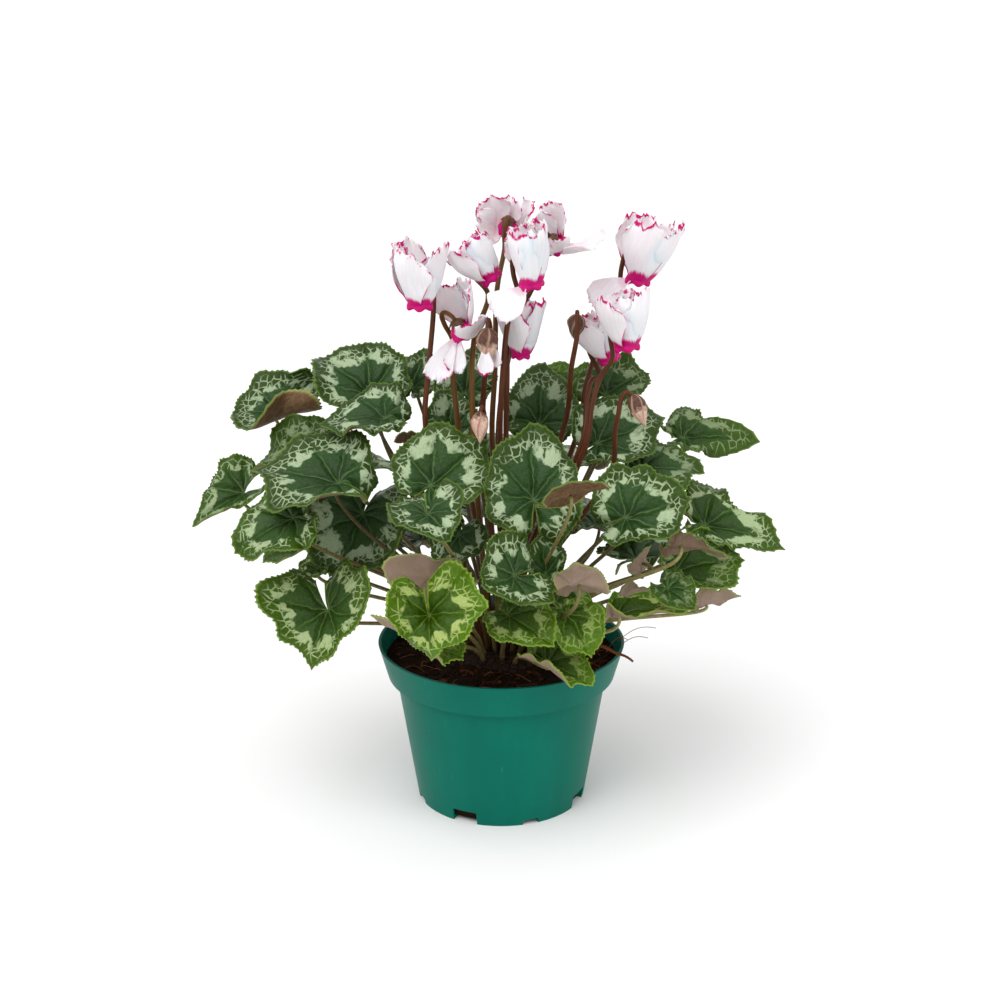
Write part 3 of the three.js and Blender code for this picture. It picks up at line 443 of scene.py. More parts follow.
soil_bm = new_piece()
bed = pot_floor + soil_gap
soil_rim = soil_level - soil_swell
soil_wide = collar_inside(soil_rim) - soil_gap
hollow = (tuber_radius + soil_gap, tuber_half + soil_gap)
brink = math.asin((soil_level - tuber_middle) / hollow[1])
brink_radius = hollow[0] * math.cos(brink)
rings = round((soil_wide - brink_radius) / soil_ring)
soil_profile = [
    (0, bed),
    (wall_inside(bed) - soil_gap, bed),
    (wall_inside(ledge) - soil_gap, ledge + soil_gap),
    (collar_inside(ledge) - soil_gap, ledge + soil_gap),
    (soil_wide, soil_rim),
]
for i in range(1, rings + 1):
    soil_profile.append((between(soil_wide, brink_radius, i / rings), soil_level))
for i in range(1, hollow_steps + 1):
    angle = between(brink, -math.pi / 2, i / hollow_steps)
    soil_profile.append((max(0, hollow[0] * math.cos(angle)), tuber_middle + hollow[1] * math.sin(angle)))
turned(soil_bm, soil_profile, soil_steps)


def soil_height(x, y):
    """The level of the peat at x, y: it swells and dips, and is lumpy."""
    wave = soil_swell * math.sin(0.12 * x) * math.cos(0.1 * y)
    clod = 1.3 * noise.noise(Vector((x, y, 0)) / 7) + 0.8 * noise.noise(Vector((x, y, 9)) / 2.6)
    return soil_level - 0.5 + wave + clod


for vert in soil_bm.verts:
    if vert.co.z > soil_level - 0.01:
        vert.co.z = soil_height(vert.co.x, vert.co.y)

draws = random.Random(7)


def strewn(margin):
    """A drawn place on the peat, evenly spread, and a margin short of the pot's wall."""
    turn = draws.uniform(0, math.tau)
    reach = math.sqrt(draws.uniform((brink_radius / soil_wide) ** 2, 1)) * (soil_wide - margin)
    return Vector((reach * math.cos(turn), reach * math.sin(turn)))


note = soil_bm.faces.layers.float_vector["look"]
for i in range(crumb_count):
    x, y = strewn(crumb_margin)
    size = draws.uniform(0.5, 1.5) ** 1.5
    made = bmesh.ops.create_icosphere(soil_bm, subdivisions=1, radius=1)["verts"]
    shape = Vector((size * draws.uniform(0.7, 1.5), size * draws.uniform(0.6, 1.1), size * 0.6))
    spin = Matrix.Rotation(draws.uniform(0, math.tau), 3, "Z")
    tilt = spin @ Matrix.Rotation(draws.uniform(-0.6, 0.6), 3, "X")
    place = Vector((x, y, soil_height(x, y) + 0.3 * size))
    paleness = draws.choice((0, 0, 0, 0.25, 0.5))
    warmth = draws.random()
    for vert in made:
        vert.co = place + tilt @ (vert.co * shape) * (1 + 0.3 * noise.noise(vert.co * 3 + place))
    for face in dict.fromkeys(face for vert in made for face in vert.link_faces):
        face[note] = (paleness, warmth, 0)
fibre_bound = soil_wide - 1
for i in range(fibre_count):
    start = strewn(fibre_margin)
    way = draws.uniform(0, math.tau)
    length = draws.uniform(4, 13)
    bend = draws.uniform(-1.2, 1.2)
    lift = draws.uniform(0, 1.6)
    warmth = draws.random()
    thick = draws.uniform(0.1, 0.28)

    def strand(share):
        heading = way + bend * share
        spot = start + Vector((math.cos(heading), math.sin(heading))) * length * (share - 0.5)
        if spot.length > fibre_bound:
            spot *= fibre_bound / spot.length
        height = soil_height(spot.x, spot.y) + 0.3 + lift * math.sin(math.pi * share)
        return Vector((spot.x, spot.y, height))

    laid_stem(soil_bm, strand, lambda share: thick, 5, 6, (0.9, warmth, 0))

twig_start = seen((596, 646, -34))
twig_end = seen((633, 662, -44))
twig_thick = 0.85
twig_taper = 0.35
twig_bow = 1.4
twig_wobble = 0.5
loose_fibre = 0.16


def bowed(start, end, rise, share):
    """A point of a line from start to end that rises in its middle."""
    return start.lerp(end, share) + Vector((0, 0, rise * math.sin(math.pi * share)))


def twig(share):
    """A point of the twig, which bows and wobbles."""
    return bowed(twig_start, twig_end, twig_bow, share) + Vector((0, 0, twig_wobble * math.sin(9 * share)))


laid_stem(soil_bm, twig, lambda share: twig_thick * (1 - twig_taper * share), 8, 14, (1, 0.45, 0))
# Three fibres spring over the rim beside the twig. Each row has its two ends in the picture and its rise.
for start, end, rise in (
    ((618, 641, -38), (656, 628, -40), 3),
    ((622, 644, -38), (648, 638, -44), 2),
    ((606, 652, -36), (628, 640, -34), 4),
):
    path = partial(bowed, seen(start), seen(end), rise)
    laid_stem(soil_bm, path, lambda share: loose_fibre, 5, 8, (1, 0.7, 0))
fixed("peat_bed", soil_bm, [peat_finish], "peat", "soil")


# A leaf is a heart-shaped blade on its own stalk. Its margin is toothed and waved, its upper side is
# dark green with a silver zone between the veins, and its underside is pink or red-brown.
blade_thick = 0.6
blade_round_from = 0.86
blade_tip_share = 0.13
blade_tip_spread = 0.28
blade_lobe_round = 0.3
blade_waves = 3
blade_teeth = 60
blade_tooth = 0.03
blade_toothed_from = 0.85
blade_tooth_columns = 3
blade_rows = 14
blade_row_power = 0.85
blade_buckle = 0.2
blade_roll = 0.16
blade_roll_from = 0.72
blade_rib = 0.018
blade_sinus = 0.1
blade_sinus_from = 0.84
blade_funnel_to = 0.3
leaf_stalk_base = 1.15
leaf_stalk_top = 0.8
leaf_stalk_ahead = 3.2
leaf_stalk_sink = 0.1
leaf_stalk_sides = 10
leaf_stalk_steps = 28
funnel_sink = 0.85
touching_gap = 0.8
vein_gap = math.radians(42)


def read_maps(add):
    """What a finish reads of its faces: the flat map in millimetres, and the parts of the rim map and of
    their look."""
    flat = add("VectorMath", {0: add("UVMap", uv_map="flat"), "Scale": flat_unit}, operation="SCALE")
    rim = add("SeparateXYZ", [add("UVMap", uv_map="rim")]).node.outputs
    looks = add("SeparateXYZ", [add("Attribute", out="Vector", attribute_name="look")]).node.outputs
    return flat, rim, looks


# A blade's skin is smooth, thin and faintly waxy, so it has a soft sheen that its quilting breaks. The look
# holds a leaf's number and how bright its silver is (X), and how young it is (Y).
leaf_finish, shader, add = new_finish("marbled cyclamen leaf", Specular_IOR_Level=0.2)
place, rim, looks = read_maps(add)
outward = rim["Y"]
seed = add("Math", [looks["X"]], operation="FLOOR")
bright = add("Math", [add("Math", [looks["X"]], operation="FRACT"), 2.0], operation="MULTIPLY")
seed = add("Math", [seed, 7.3], operation="MULTIPLY")
seeded = add("VectorMath", [place, add("CombineXYZ", {2: seed})], operation="ADD")
# Veins run from the heart at even turns and fork once. The noise bends them by a millimetre or two.
sway = add("TexNoise", {"Vector": seeded, "Scale": 0.13, "Detail": 2.0}, out="Color")
sway = add("VectorMath", [sway, (0.5, 0.5, 0.5)], operation="SUBTRACT")
sway = add("VectorMath", {0: sway, "Scale": 4.5}, operation="SCALE")
bent = add("VectorMath", [place, sway], operation="ADD")
parts = add("SeparateXYZ", [bent]).node.outputs
turn = add("Math", [parts["Y"], parts["X"]], operation="ARCTAN2")
level = add("CombineXYZ", [parts["X"], parts["Y"]])
reach = add("VectorMath", [level], out="Value", operation="LENGTH")
sector = add("Math", [turn, vein_gap], operation="DIVIDE")
nearest = add("Math", [sector], operation="ROUND")
aside = add("Math", [add("Math", [sector, nearest], operation="SUBTRACT")], operation="ABSOLUTE")
span = add("Math", [reach, vein_gap], operation="MULTIPLY")
from_vein = add("Math", [aside, span], operation="MULTIPLY")
fork = add("MapRange", [outward, 0.38, 0.95, 0.0, 0.24], interpolation_type="SMOOTHSTEP")
from_fork = add("Math", [aside, fork], operation="SUBTRACT")
from_fork = add("Math", [from_fork], operation="ABSOLUTE")
from_fork = add("Math", [from_fork, span], operation="MULTIPLY")
vein = add("MapRange", [from_vein, 0.05, 0.42, 0.45, 0.0])
forked = add("MapRange", [from_fork, 0.0, 0.3, 0.3, 0.0])
vein = add("Math", [vein, forked], operation="MAXIMUM")
vein_end = add("MapRange", [outward, 0.35, 0.72, 1.0, 0.0], interpolation_type="SMOOTHSTEP")
vein = add("Math", [vein, vein_end], operation="MULTIPLY")
# The silver zone: a blotch between each pair of veins, feathered outwards, and a net of silver lines.
cell = add("Math", [sector], operation="FLOOR")
lot = add("TexWhiteNoise", {"Vector": add("CombineXYZ", [cell, seed])}, out="Color")
lots = add("SeparateXYZ", [lot]).node.outputs
slowed = add("Math", [outward, 0.7], operation="MULTIPLY")
feather_run = add("CombineXYZ", [sector, slowed, seed])
feather = add("TexNoise", {"Vector": feather_run, "Scale": 4.2, "Detail": 3.0})
streak_run = add("CombineXYZ", [sector, outward, seed])
streak = add("TexNoise", {"Vector": streak_run, "Scale": 2.1, "Detail": 2.5, "Roughness": 0.6})
streak = add("MapRange", [streak, 0.42, 0.48])
blotch = add("TexNoise", {"Vector": seeded, "Scale": 0.22, "Detail": 2.0})
inner = add("MapRange", [lots["X"], 0.0, 1.0, 0.54, 0.7])
arch = add("Math", [aside, 0.18], operation="MULTIPLY")
inner = add("Math", [inner, arch], operation="SUBTRACT")
uneven = add("MapRange", [blotch, 0.3, 0.7, -0.06, 0.06])
inner = add("Math", [inner, uneven], operation="ADD")
outer = add("MapRange", [lots["Y"], 0.0, 1.0, 0.68, 0.82])
feathered = add("MapRange", [feather, 0.3, 0.7, -0.16, 0.12])
outer = add("Math", [outer, feathered], operation="ADD")
past_inner = add("Math", [outward, inner], operation="SUBTRACT")
short_of_outer = add("Math", [outer, outward], operation="SUBTRACT")
silver = add("MapRange", [past_inner, -0.01, 0.025])
silver_end = add("MapRange", [short_of_outer, -0.02, 0.02])
silver_gap = add("MapRange", [from_vein, 0.4, 1.2])
for part in (silver_end, silver_gap, streak):
    silver = add("Math", [silver, part], operation="MULTIPLY")
net_place = add("VectorMath", [bent, add("CombineXYZ", [seed, seed])], operation="ADD")
net = add(
    "TexVoronoi", {"Vector": net_place, "Scale": 0.3}, feature="DISTANCE_TO_EDGE", voronoi_dimensions="2D"
)
net = add("MapRange", [net, 0.04, 0.12, 0.9, 0.0])
net_in = add("MapRange", [past_inner, 0.0, 0.06])
net_out = add("MapRange", [outward, 0.84, 0.93, 1.0, 0.0])
net_gaps = add("MapRange", [feather, 0.32, 0.42])
for part in (net_in, net_out, net_gaps):
    net = add("Math", [net, part], operation="MULTIPLY")
silver = add("Math", [silver, net], operation="MAXIMUM")
# Young leaves are a brighter, yellower green. The fine mottling is the leaf's tissue between veinlets.
mottle = add("TexNoise", {"Vector": seeded, "Scale": 0.9, "Detail": 3.0})
tones = {}
for name, old, young in (
    ("centre", "#233f19", "#334f03"),
    ("outer", "#233707", "#456502"),
    ("vein", "#557441", "#6f8e30"),
    ("silver", "#a1b393", "#9cad62"),
    ("margin", "#4d6724", "#7a962f"),
):
    tones[name] = add("Mix", {0: looks["Y"], 6: linear(old), 7: linear(young)}, **of_colours)
zone = add("MapRange", [past_inner, -0.02, 0.16])
green = add("Mix", {0: zone, 6: tones["centre"], 7: tones["outer"]}, **of_colours)
shade = add("MapRange", [mottle, 0.3, 0.7, 0.74, 1.26])
# Painted shade: the green darkens towards the heart, standing in for the shade in the hollow of the blade
# round it.
painted_heart_shade = add("MapRange", [outward, 0.05, 0.55, 0.62, 1.05])
shade = add("Math", [shade, painted_heart_shade], operation="MULTIPLY")
green = add("Mix", {0: 1.0, 6: green, 7: shade}, blend_type="MULTIPLY", **of_colours)
green = add("Mix", {0: vein, 6: green, 7: tones["vein"]}, **of_colours)
silvered = add("MapRange", [mottle, 0.25, 0.5, 0.75, 1.0])
for part in (silver, bright):
    silvered = add("Math", [silvered, part], operation="MULTIPLY")
green = add("Mix", {0: silvered, 6: green, 7: tones["silver"]}, **of_colours)
edge = add("MapRange", [outward, 0.96, 0.99])
notched = add("MapRange", [add("Math", [rim["X"]], operation="ABSOLUTE"), 0.972, 0.988])
edge = add("Math", [edge, notched], operation="MAXIMUM")
green = add("Mix", {0: edge, 6: green, 7: tones["margin"]}, **of_colours)
gloss = add("MapRange", [mottle, 0.0, 1.0, 0.36, 0.52])
quilt = add("MapRange", [from_vein, 0.0, 2.5], interpolation_type="SMOOTHSTEP")
quilt = add("Math", [quilt, add("Math", [mottle, 0.5], operation="MULTIPLY")], operation="ADD")
relief = add("Bump", {"Height": quilt, "Strength": 0.7, "Distance": 0.0014}, out="Normal")
feed(shader, Base_Color=green, Roughness=gloss, Normal=relief)

# The underside is matt, clouded pink where it is young and brown where it is old (the look's Z), with a net
# of greenish veins 3 mm apart and the margin's green.
under_finish, shader, add = new_finish(
    "pink and brown leaf underside", Roughness=0.6, Specular_IOR_Level=0.15
)
flat, rim, looks = read_maps(add)
cloud = add("TexNoise", {"Vector": flat, "Scale": 0.16, "Detail": 3.0})
pink = add("Mix", {0: cloud, 6: linear("#77674a"), 7: linear("#98807a")}, **of_colours)
brown = add("Mix", {0: cloud, 6: linear("#3f2810"), 7: linear("#6c4a30")}, **of_colours)
skin = add("Mix", {0: looks["Z"], 6: pink, 7: brown}, **of_colours)
ribs = add("TexVoronoi", {"Vector": flat, "Scale": 0.3}, feature="DISTANCE_TO_EDGE")
ribs = add("MapRange", [ribs, 0.0, 0.1, 0.35, 0.0])
skin = add("Mix", {0: ribs, 6: skin, 7: linear("#77744a")}, **of_colours)
edge = add("MapRange", [rim["Y"], 0.93, 0.99])
skin = add("Mix", {0: edge, 6: skin, 7: linear("#8c9152")}, **of_colours)
relief = add("Bump", {"Height": ribs, "Strength": 0.4, "Distance": 0.0006}, out="Normal")
feed(shader, Base_Color=skin, Normal=relief)

# A leaf stalk is smooth and moist, so it is a little glossy. It is brown at its foot and paler at its top,
# straw-coloured in a young leaf (the look's Y), with flecks of 2 mm.
petiole_finish, shader, add = new_finish("fleshy leaf stalk", Roughness=0.45, Specular_IOR_Level=0.25)
flat, rim, looks = read_maps(add)
fleck = add("TexNoise", {"Vector": flat, "Scale": 0.5, "Detail": 3.0})
fresh = add("Mix", {0: rim["Y"], 6: linear("#7d6a44"), 7: linear("#97945a")}, **of_colours)
# An old stalk's browns are its own colour darkened further, as painted shade for the stalks deep inside the
# plant.
aged_and_shaded = add("Mix", {0: rim["Y"], 6: linear("#35250f"), 7: linear("#4f4623")}, **of_colours)
flesh = add("Mix", {0: looks["Y"], 6: aged_and_shaded, 7: fresh}, **of_colours)
shade = add("MapRange", [fleck, 0.3, 0.7, 0.75, 1.25])
flesh = add("Mix", {0: 1.0, 6: flesh, 7: shade}, blend_type="MULTIPLY", **of_colours)
feed(shader, Base_Color=flesh)


# The usual form and look of a leaf. open, skew, curl and droop are in degrees: how far it opens to either
# side of its tip, how its notch is turned, how its two sides curl up and how its tip hangs. The next are
# shares of its length or of the usual. stem tells how far its stalk rises from the tuber and sags below the
# blade. The last three tell how bright its silver, how young and how brown underneath it is.
usual_leaf = {
    "open": 174, "skew": 0, "curl": (10, 10), "curl_reach": 0.8, "droop": 14, "wave": 0.05, "phase": 0,
    "fold": 0.19, "corners": 0, "taper": 0.08, "lift": 0, "uneven": 0.17, "furl": 0, "crumple": 1,
    "funnel": 0.045, "stem": (0.35, 0.3), "silver": 0.9, "young": 0.15, "under": 0.2,
}


def grown(node, heart, tip, face, side, lobe, **more):
    """One leaf: its node, where its heart and tip are seen, the way it faces, how far its two sides and its
    lobes reach as shares of its length, and what else departs from the usual."""
    own = {"node": node, "heart": heart, "tip": tip, "face": face, "side": side, "lobe": lobe}
    leaf = usual_leaf | own | more
    leaf.setdefault("stalk", leaf["young"])
    return leaf


leaves = [
    grown("leaf_left_1", (281, 415, 40), (233, 409, 40), (-0.25, -0.5, 0.83), (1, 0.95), 0.7,
          curl=(88, 60), curl_reach=0.5, furl=0.94, young=0.1, under=0.9, lift=0.9, taper=-0.16,
          stem=(0.35, 0.1), stalk=0.6),
    grown("leaf_left_2", (370, 393, 20), (316, 352, 40), (-0.2, -0.5, 0.85), (0.42, 0.62), 0.45,
          young=0.1, under=0.5),
    grown("leaf_left_3", (385, 417, -10), (322, 421, -5), (-0.1, -0.4, 0.9), (0.5, 0.5), 0.42,
          young=0.05, under=0.6),
    # This leaf's stalk takes the darkest old brown, as painted shade where it crosses the shaded middle of
    # the plant.
    grown("leaf_left_4", (338, 481, -30), (253, 477, -15), (-0.2, -0.35, 0.92), (0.62, 0.6), 0.4,
          young=0.1, under=0.5, stalk=0),
    grown("leaf_left_5", (318, 452, 10), (250, 470, 12), (-0.3, -0.3, 0.9), (0.55, 0.52), 0.5,
          young=0.2, under=0.5, silver=0.45),
    grown("leaf_left_6", (243, 492, 5), (192, 527, 0), (-0.3, -0.6, 0.7), (0.45, 0.62), 0.62,
          curl=(75, 25), young=0.3, under=0.7, taper=0.3, fold=0.3, silver=0.7, open=150),
    grown("leaf_left_7", (293, 517, -36), (230, 553, -42), (-0.3, -0.6, 0.75), (0.6, 0.42), 0.3,
          young=0.3, under=0.4),
    grown("leaf_left_6", (310, 540, 15), (262, 566, 8), (-0.1, -0.35, 0.93), (0.6, 0.5), 0.35,
          curl=(40, 20), young=0.5, under=0.4, silver=0.15),
    grown("leaf_left_7", (363, 512, 1), (335, 583, -14), (0, -0.75, 0.65), (0.58, 0.74), 0.6,
          young=0.1, under=0.4, silver=0.7),
    grown("leaf_left_10", (327, 610, -35), (310, 676, -50), (-0.3, -0.75, 0.6), (0.76, 0.96), 0.85,
          skew=35, young=0.5, under=0.3, taper=0.22, fold=0.3),
    grown("leaf_front_1", (428, 614, -80), (432, 664, -88), (0, -0.85, 0.5), (1.25, 0.9), 0.85,
          open=176, young=1, under=0, taper=0.22, uneven=0.25, crumple=1.7, wave=0.2, funnel=0.2, lift=0.1,
          fold=0.35, silver=0.95),
    grown("leaf_front_2", (430, 577, -59), (426, 610, -60), (0, 0.9, 0.2), (1.45, 1.5), 0.62,
          open=181, skew=95, young=0.2, under=0.15, taper=0, stalk=0.9, crumple=0.35, uneven=0.07,
          wave=0.03),
    grown("leaf_front_1", (415, 632, -56), (462, 667, -64), (0, -0.3, 0.95), (0.75, 0.9), 0.75,
          curl=(10, 85), young=1, under=0, silver=0.4),
    grown("leaf_front_4", (515, 576, -72), (480, 588, -82), (-0.1, -0.8, 0.6), (1, 1.05), 1,
          under=0.1),
    grown("leaf_front_5", (508, 613, -62), (554, 647, -78), (0.1, -0.6, 0.78), (0.42, 0.52), 0.32,
          young=0.85, under=0.3, silver=0.7),
    grown("leaf_front_6", (566, 613, -57), (592, 658, -68), (0.3, -0.7, 0.65), (0.52, 0.46), 0.25,
          young=1, silver=0.6),
    grown("leaf_front_7", (546, 661, -55), (590, 689, -62), (0.2, -0.5, 0.85), (0.7, 0.5), 0.6,
          curl=(10, 120), stem=(0.3, 0.2), young=1, under=0, silver=0.5),
    grown("leaf_middle_1", (430, 486, -38), (490, 440, -25), (0, -0.75, 0.65), (0.68, 0.5), 0.36,
          under=0.5),
    grown("leaf_middle_2", (427, 513, -74), (451, 541, -90), (0.05, -0.6, 0.75), (0.85, 0.8), 0.82,
          open=168, skew=-40, stem=(0.3, 0.12), young=0.1, under=0.3, lift=0.05, fold=0.3, crumple=0.7,
          uneven=0.08, stalk=0.7),
    grown("leaf_middle_3", (534, 499, -46), (530, 430, -24), (0, -0.75, 0.65), (0.64, 0.62), 0.62,
          young=0.1, under=0.5),
    grown("leaf_middle_4", (563, 496, -76), (610, 488, -72), (0, 0.5, 0.85), (0.8, 0.75), 0.6,
          curl=(-32, -6), stem=(0.3, 0.1), young=0.2, under=0.95, stalk=0.5, crumple=0.3,
          uneven=0.06, wave=0.02),
    grown("leaf_middle_4", (546, 574, -50), (541, 530, -44), (0, -0.8, 0.6), (0.3, 0.3), 0.2,
          young=0.2, under=0.3),
    grown("leaf_front_6", (572, 584, -66), (610, 588, -66), (0, 0.8, 0.6), (0.7, 0.7), 0.6,
          young=0.3, under=0),
    grown("leaf_middle_7", (560, 595, -34), (590, 607, -40), (0, -0.6, 0.8), (0.42, 0.42), 0.25,
          young=0.75, silver=0.6),
    grown("leaf_middle_1", (458, 534, -22), (439, 569, -30), (0, -0.7, 0.7), (0.8, 0.8), 0.6,
          young=0.1, under=0.4),
    grown("leaf_right_1", (606, 393, 25), (650, 370, 35), (0.1, -0.5, 0.85), (0.66, 0.34), 0.6,
          young=0.2, under=0.5, silver=0.5),
    grown("leaf_right_2", (598, 443, -5), (664, 419, 10), (0, -0.75, 0.65), (0.56, 0.36), 0.3,
          young=0.1, under=0.5),
    grown("leaf_right_3", (682, 437, 25), (749, 438, 30), (0.2, -0.5, 0.85), (0.6, 0.34), 0.24,
          young=0.35, under=0.4, taper=0.36, corners=0.15, wave=0.11, silver=0.5),
    grown("leaf_right_4", (640, 468, -5), (703, 474, 0), (0.1, -0.4, 0.9), (0.45, 0.34), 0.25,
          young=0.2, under=0.4, silver=0.5),
    grown("leaf_right_5", (626, 518, -50), (692, 500, -45), (0.1, -0.7, 0.7), (0.78, 0.38), 0.5,
          under=0.4),
    grown("leaf_right_6", (703, 524, -5), (787, 547, -8), (0.3, -0.5, 0.8), (0.7, 0.32), 0.26,
          young=0.35, under=0.4, taper=0.36),
    grown("leaf_right_6", (676, 569, -22), (750, 559, -14), (0.2, -0.6, 0.8), (0.24, 0.3), 0.25,
          young=0.5, under=0.4, silver=0.5),
    grown("leaf_right_8", (674, 544, -44), (733, 554, -40), (0.1, 0.8, 0.5), (0.36, 0.24), 0.18,
          stem=(0.46, 0.2), young=0.3, under=0.5, taper=0.42, stalk=0.9),
    grown("leaf_right_9", (668, 588, -56), (694, 611, -66), (0.2, -0.7, 0.7), (0.6, 0.55), 0.5,
          young=0.3, under=0.1, silver=0.3, stalk=0.8),
    # Painted light: this upturned leaf's silver is at full strength, brightening it as its upper side
    # catches the light.
    grown("leaf_right_9", (612, 614, -46), (694, 609, -46), (0, -0.2, 1), (0.2, 0.24), 0.18,
          young=1, under=0.1, taper=0.5, silver=1, stalk=1),
    grown("leaf_back_1", (412, 388, 35), (424, 350, 50), (0, -0.7, 0.7), (0.42, 0.5), 0.24,
          young=0.1, under=0.7, silver=0.6),
    grown("leaf_back_2", (465, 393, 28), (472, 347, 43), (0, -0.7, 0.7), (0.58, 0.52), 0.3,
          young=0.05, under=0.7, silver=0.7),
    grown("leaf_back_3", (539, 424, 20), (545, 362, 40), (0, -0.75, 0.65), (0.5, 0.6), 0.28,
          young=0.1, under=0.7, silver=0.6),
    grown("leaf_right_8", (621, 599, -14), (654, 590, -12), (0, 0.7, 0.7), (0.6, 0.5), 0.3,
          young=0.3, under=0),
    grown("leaf_right_8", (700, 606, -18), (741, 598, -14), (0, 0.6, 0.8), (0.5, 0.5), 0.2,
          young=0.3, under=0, stem=(0.3, 0.1), taper=0.25, stalk=0.9),
    grown("leaf_right_5", (640, 570, -30), (650, 545, -26), (-0.6, 0.6, 0.5), (0.6, 0.6), 0.3,
          stem=(0.5, 0.3), young=0.3, under=0),
    grown("leaf_back_3", (585, 392, 42), (546, 367, 50), (0, -0.35, 0.93), (0.4, 0.4), 0.2,
          young=0.6, under=0.7, silver=0.3),
    grown("leaf_left_3", (421, 440, 14), (393, 440, 16), (0, 0.55, 0.8), (0.5, 0.5), 0.3,
          young=0.3, under=0.8),
    grown("leaf_back_1", (452, 432, 8), (450, 388, 22), (0, -0.75, 0.65), (0.5, 0.5), 0.2,
          young=0.1, under=0.7, silver=0.6),
    grown("leaf_left_7", (320, 567, -14), (294, 578, -16), (0, -0.5, 0.85), (0.5, 0.5), 0.3,
          young=0.5, under=0.4),
]

# The leaves on the far side of the plant, which the photograph doesn't show: turn about the pot, reach
# from its middle, height and length. They lean out and hang a little.
far_side = 0.56
far_lobe = 0.42
far_lean = 0.32
far_hang = 0.12
for node, turn, reach, height, length in (
    ("leaf_far_1", 24, 74, 112, 42),
    ("leaf_far_1", 48, 72, 121, 42),
    ("leaf_far_2", 72, 74, 111, 44),
    ("leaf_far_2", 98, 72, 121, 42),
    ("leaf_far_3", 124, 74, 110, 42),
    ("leaf_far_3", 150, 76, 120, 40),
    ("leaf_far_4", 62, 66, 152, 38),
    ("leaf_far_4", 95, 62, 158, 38),
    ("leaf_far_4", 126, 68, 150, 36),
):
    out = Vector((math.cos(math.radians(turn)), math.sin(math.radians(turn)), 0))
    heart = out * reach + Vector((0, 0, height))
    tip = heart + out * length - Vector((0, 0, far_hang * length))
    face = out * far_lean + Vector((0, 0, 1))
    leaves.append(grown(node, heart, tip, face, (far_side, far_side), far_lobe, phase=turn))


def arc(distance, reach, turn):
    """Follows an arc that starts level and turns ever more: how far it runs, rises and leans."""
    sign = 1 if distance >= 0 else -1
    lean = turn * abs(distance) / reach
    if abs(lean) < 1e-6:
        return distance, 0, 0
    run = abs(distance) * math.sin(lean) / lean
    return sign * run, abs(distance) * (1 - math.cos(lean)) / lean, sign * lean


def blade_frame(leaf):
    """The heart, length and axes of a blade."""
    heart = seen(leaf["heart"])
    chord = seen(leaf["tip"]) - heart
    run, rise, _ = arc(1, 1, -math.radians(leaf["droop"]))
    dip = math.atan2(rise, run)
    length = chord.length / math.hypot(run, rise)
    along = chord.normalized()
    facing = square_to(Vector(leaf["face"]), along)
    forward = along * math.cos(dip) - facing * math.sin(dip)
    up = along * math.sin(dip) + facing * math.cos(dip)
    return heart, length, forward, up, up.cross(forward)


def ease(value, low, high):
    """How far value has come from low to high, from 0 to 1, with a soft start and end."""
    share = min(max((value - low) / (high - low), 0), 1)
    return share * share * (3 - 2 * share)


def blade_radius(leaf, turn, share):
    """The blade's reach at a turn from its midrib, as a share of its length."""
    forward = max(0, math.cos(turn))
    behind = max(0, -math.cos(turn))
    point = blade_tip_share * math.exp(-abs(turn) / blade_tip_spread)
    side = leaf["side"][0 if turn > 0 else 1]
    body = side + (1 - blade_tip_share - side) * forward + (leaf["lobe"] - side) * behind
    return (body + point) * (1 - blade_lobe_round * ease(abs(share), blade_round_from, 1))


def blade_form(leaf, frame, seed, x, y):
    """A point of the blade: x runs from one lobe over the tip to the other, and y from the heart out."""
    heart, length, forward, up, left = frame
    share = 1 - 2 * x
    out = y**blade_row_power
    turn = share * math.radians(leaf["open"]) + math.radians(leaf["skew"]) * share * share
    around = Vector((math.cos(turn), math.sin(turn), 1.9 * seed))
    toothed = max(0, out - blade_toothed_from) / (1 - blade_toothed_from)
    tooth = blade_tooth * (0.5 - abs(math.sin(math.pi * blade_teeth * x))) * toothed
    tooth *= 1 + 1.4 * noise.noise(9 * around)
    uneven = leaf["uneven"] * noise.noise(2.2 * around) + leaf["corners"] * math.cos(5 * turn)
    uneven -= leaf["taper"] * math.sin(2 * min(abs(turn), math.pi / 2))
    radius = length * blade_radius(leaf, turn, share) * (1 + tooth + uneven * out) * out
    along, across = radius * math.cos(turn), radius * math.sin(turn)
    furled = 1 - leaf["furl"] * ease(math.cos(turn), -0.1, 0.6)
    curl = math.radians(leaf["curl"][0 if across > 0 else 1]) * furled
    side_run, side_rise, _ = arc(across, leaf["curl_reach"] * length, curl)
    wave = leaf["wave"] * length * out * out * math.sin(blade_waves * turn + leaf["phase"])
    buckle = blade_buckle * out * out * noise.noise(1.4 * around + Vector((0, 0, 0.7)))
    roll = blade_roll * ease(out, blade_roll_from, 1) * noise.noise(2.9 * around)
    crumples = leaf["crumple"] * length * (buckle + roll)
    rib = blade_rib * length * math.sin(math.pi * out) * abs(math.sin(math.pi * turn / vein_gap))
    fold = leaf["fold"] * (math.hypot(across, 1) - 1)
    funnel = leaf["funnel"] * length * (1 - ease(out, 0, blade_funnel_to))
    lift = leaf["lift"] * max(0, -along)
    sinus = blade_sinus * length * out * ease(abs(share), blade_sinus_from, 1)
    height = side_rise + wave + crumples + rib + fold + lift - funnel - sinus
    mid_run, mid_rise, lean = arc(along, length, -math.radians(leaf["droop"]))
    place = heart + forward * (mid_run - height * math.sin(lean))
    place += left * side_run + up * (mid_rise + height * math.cos(lean))
    return place, (along / flat_unit, across / flat_unit), (share, out)


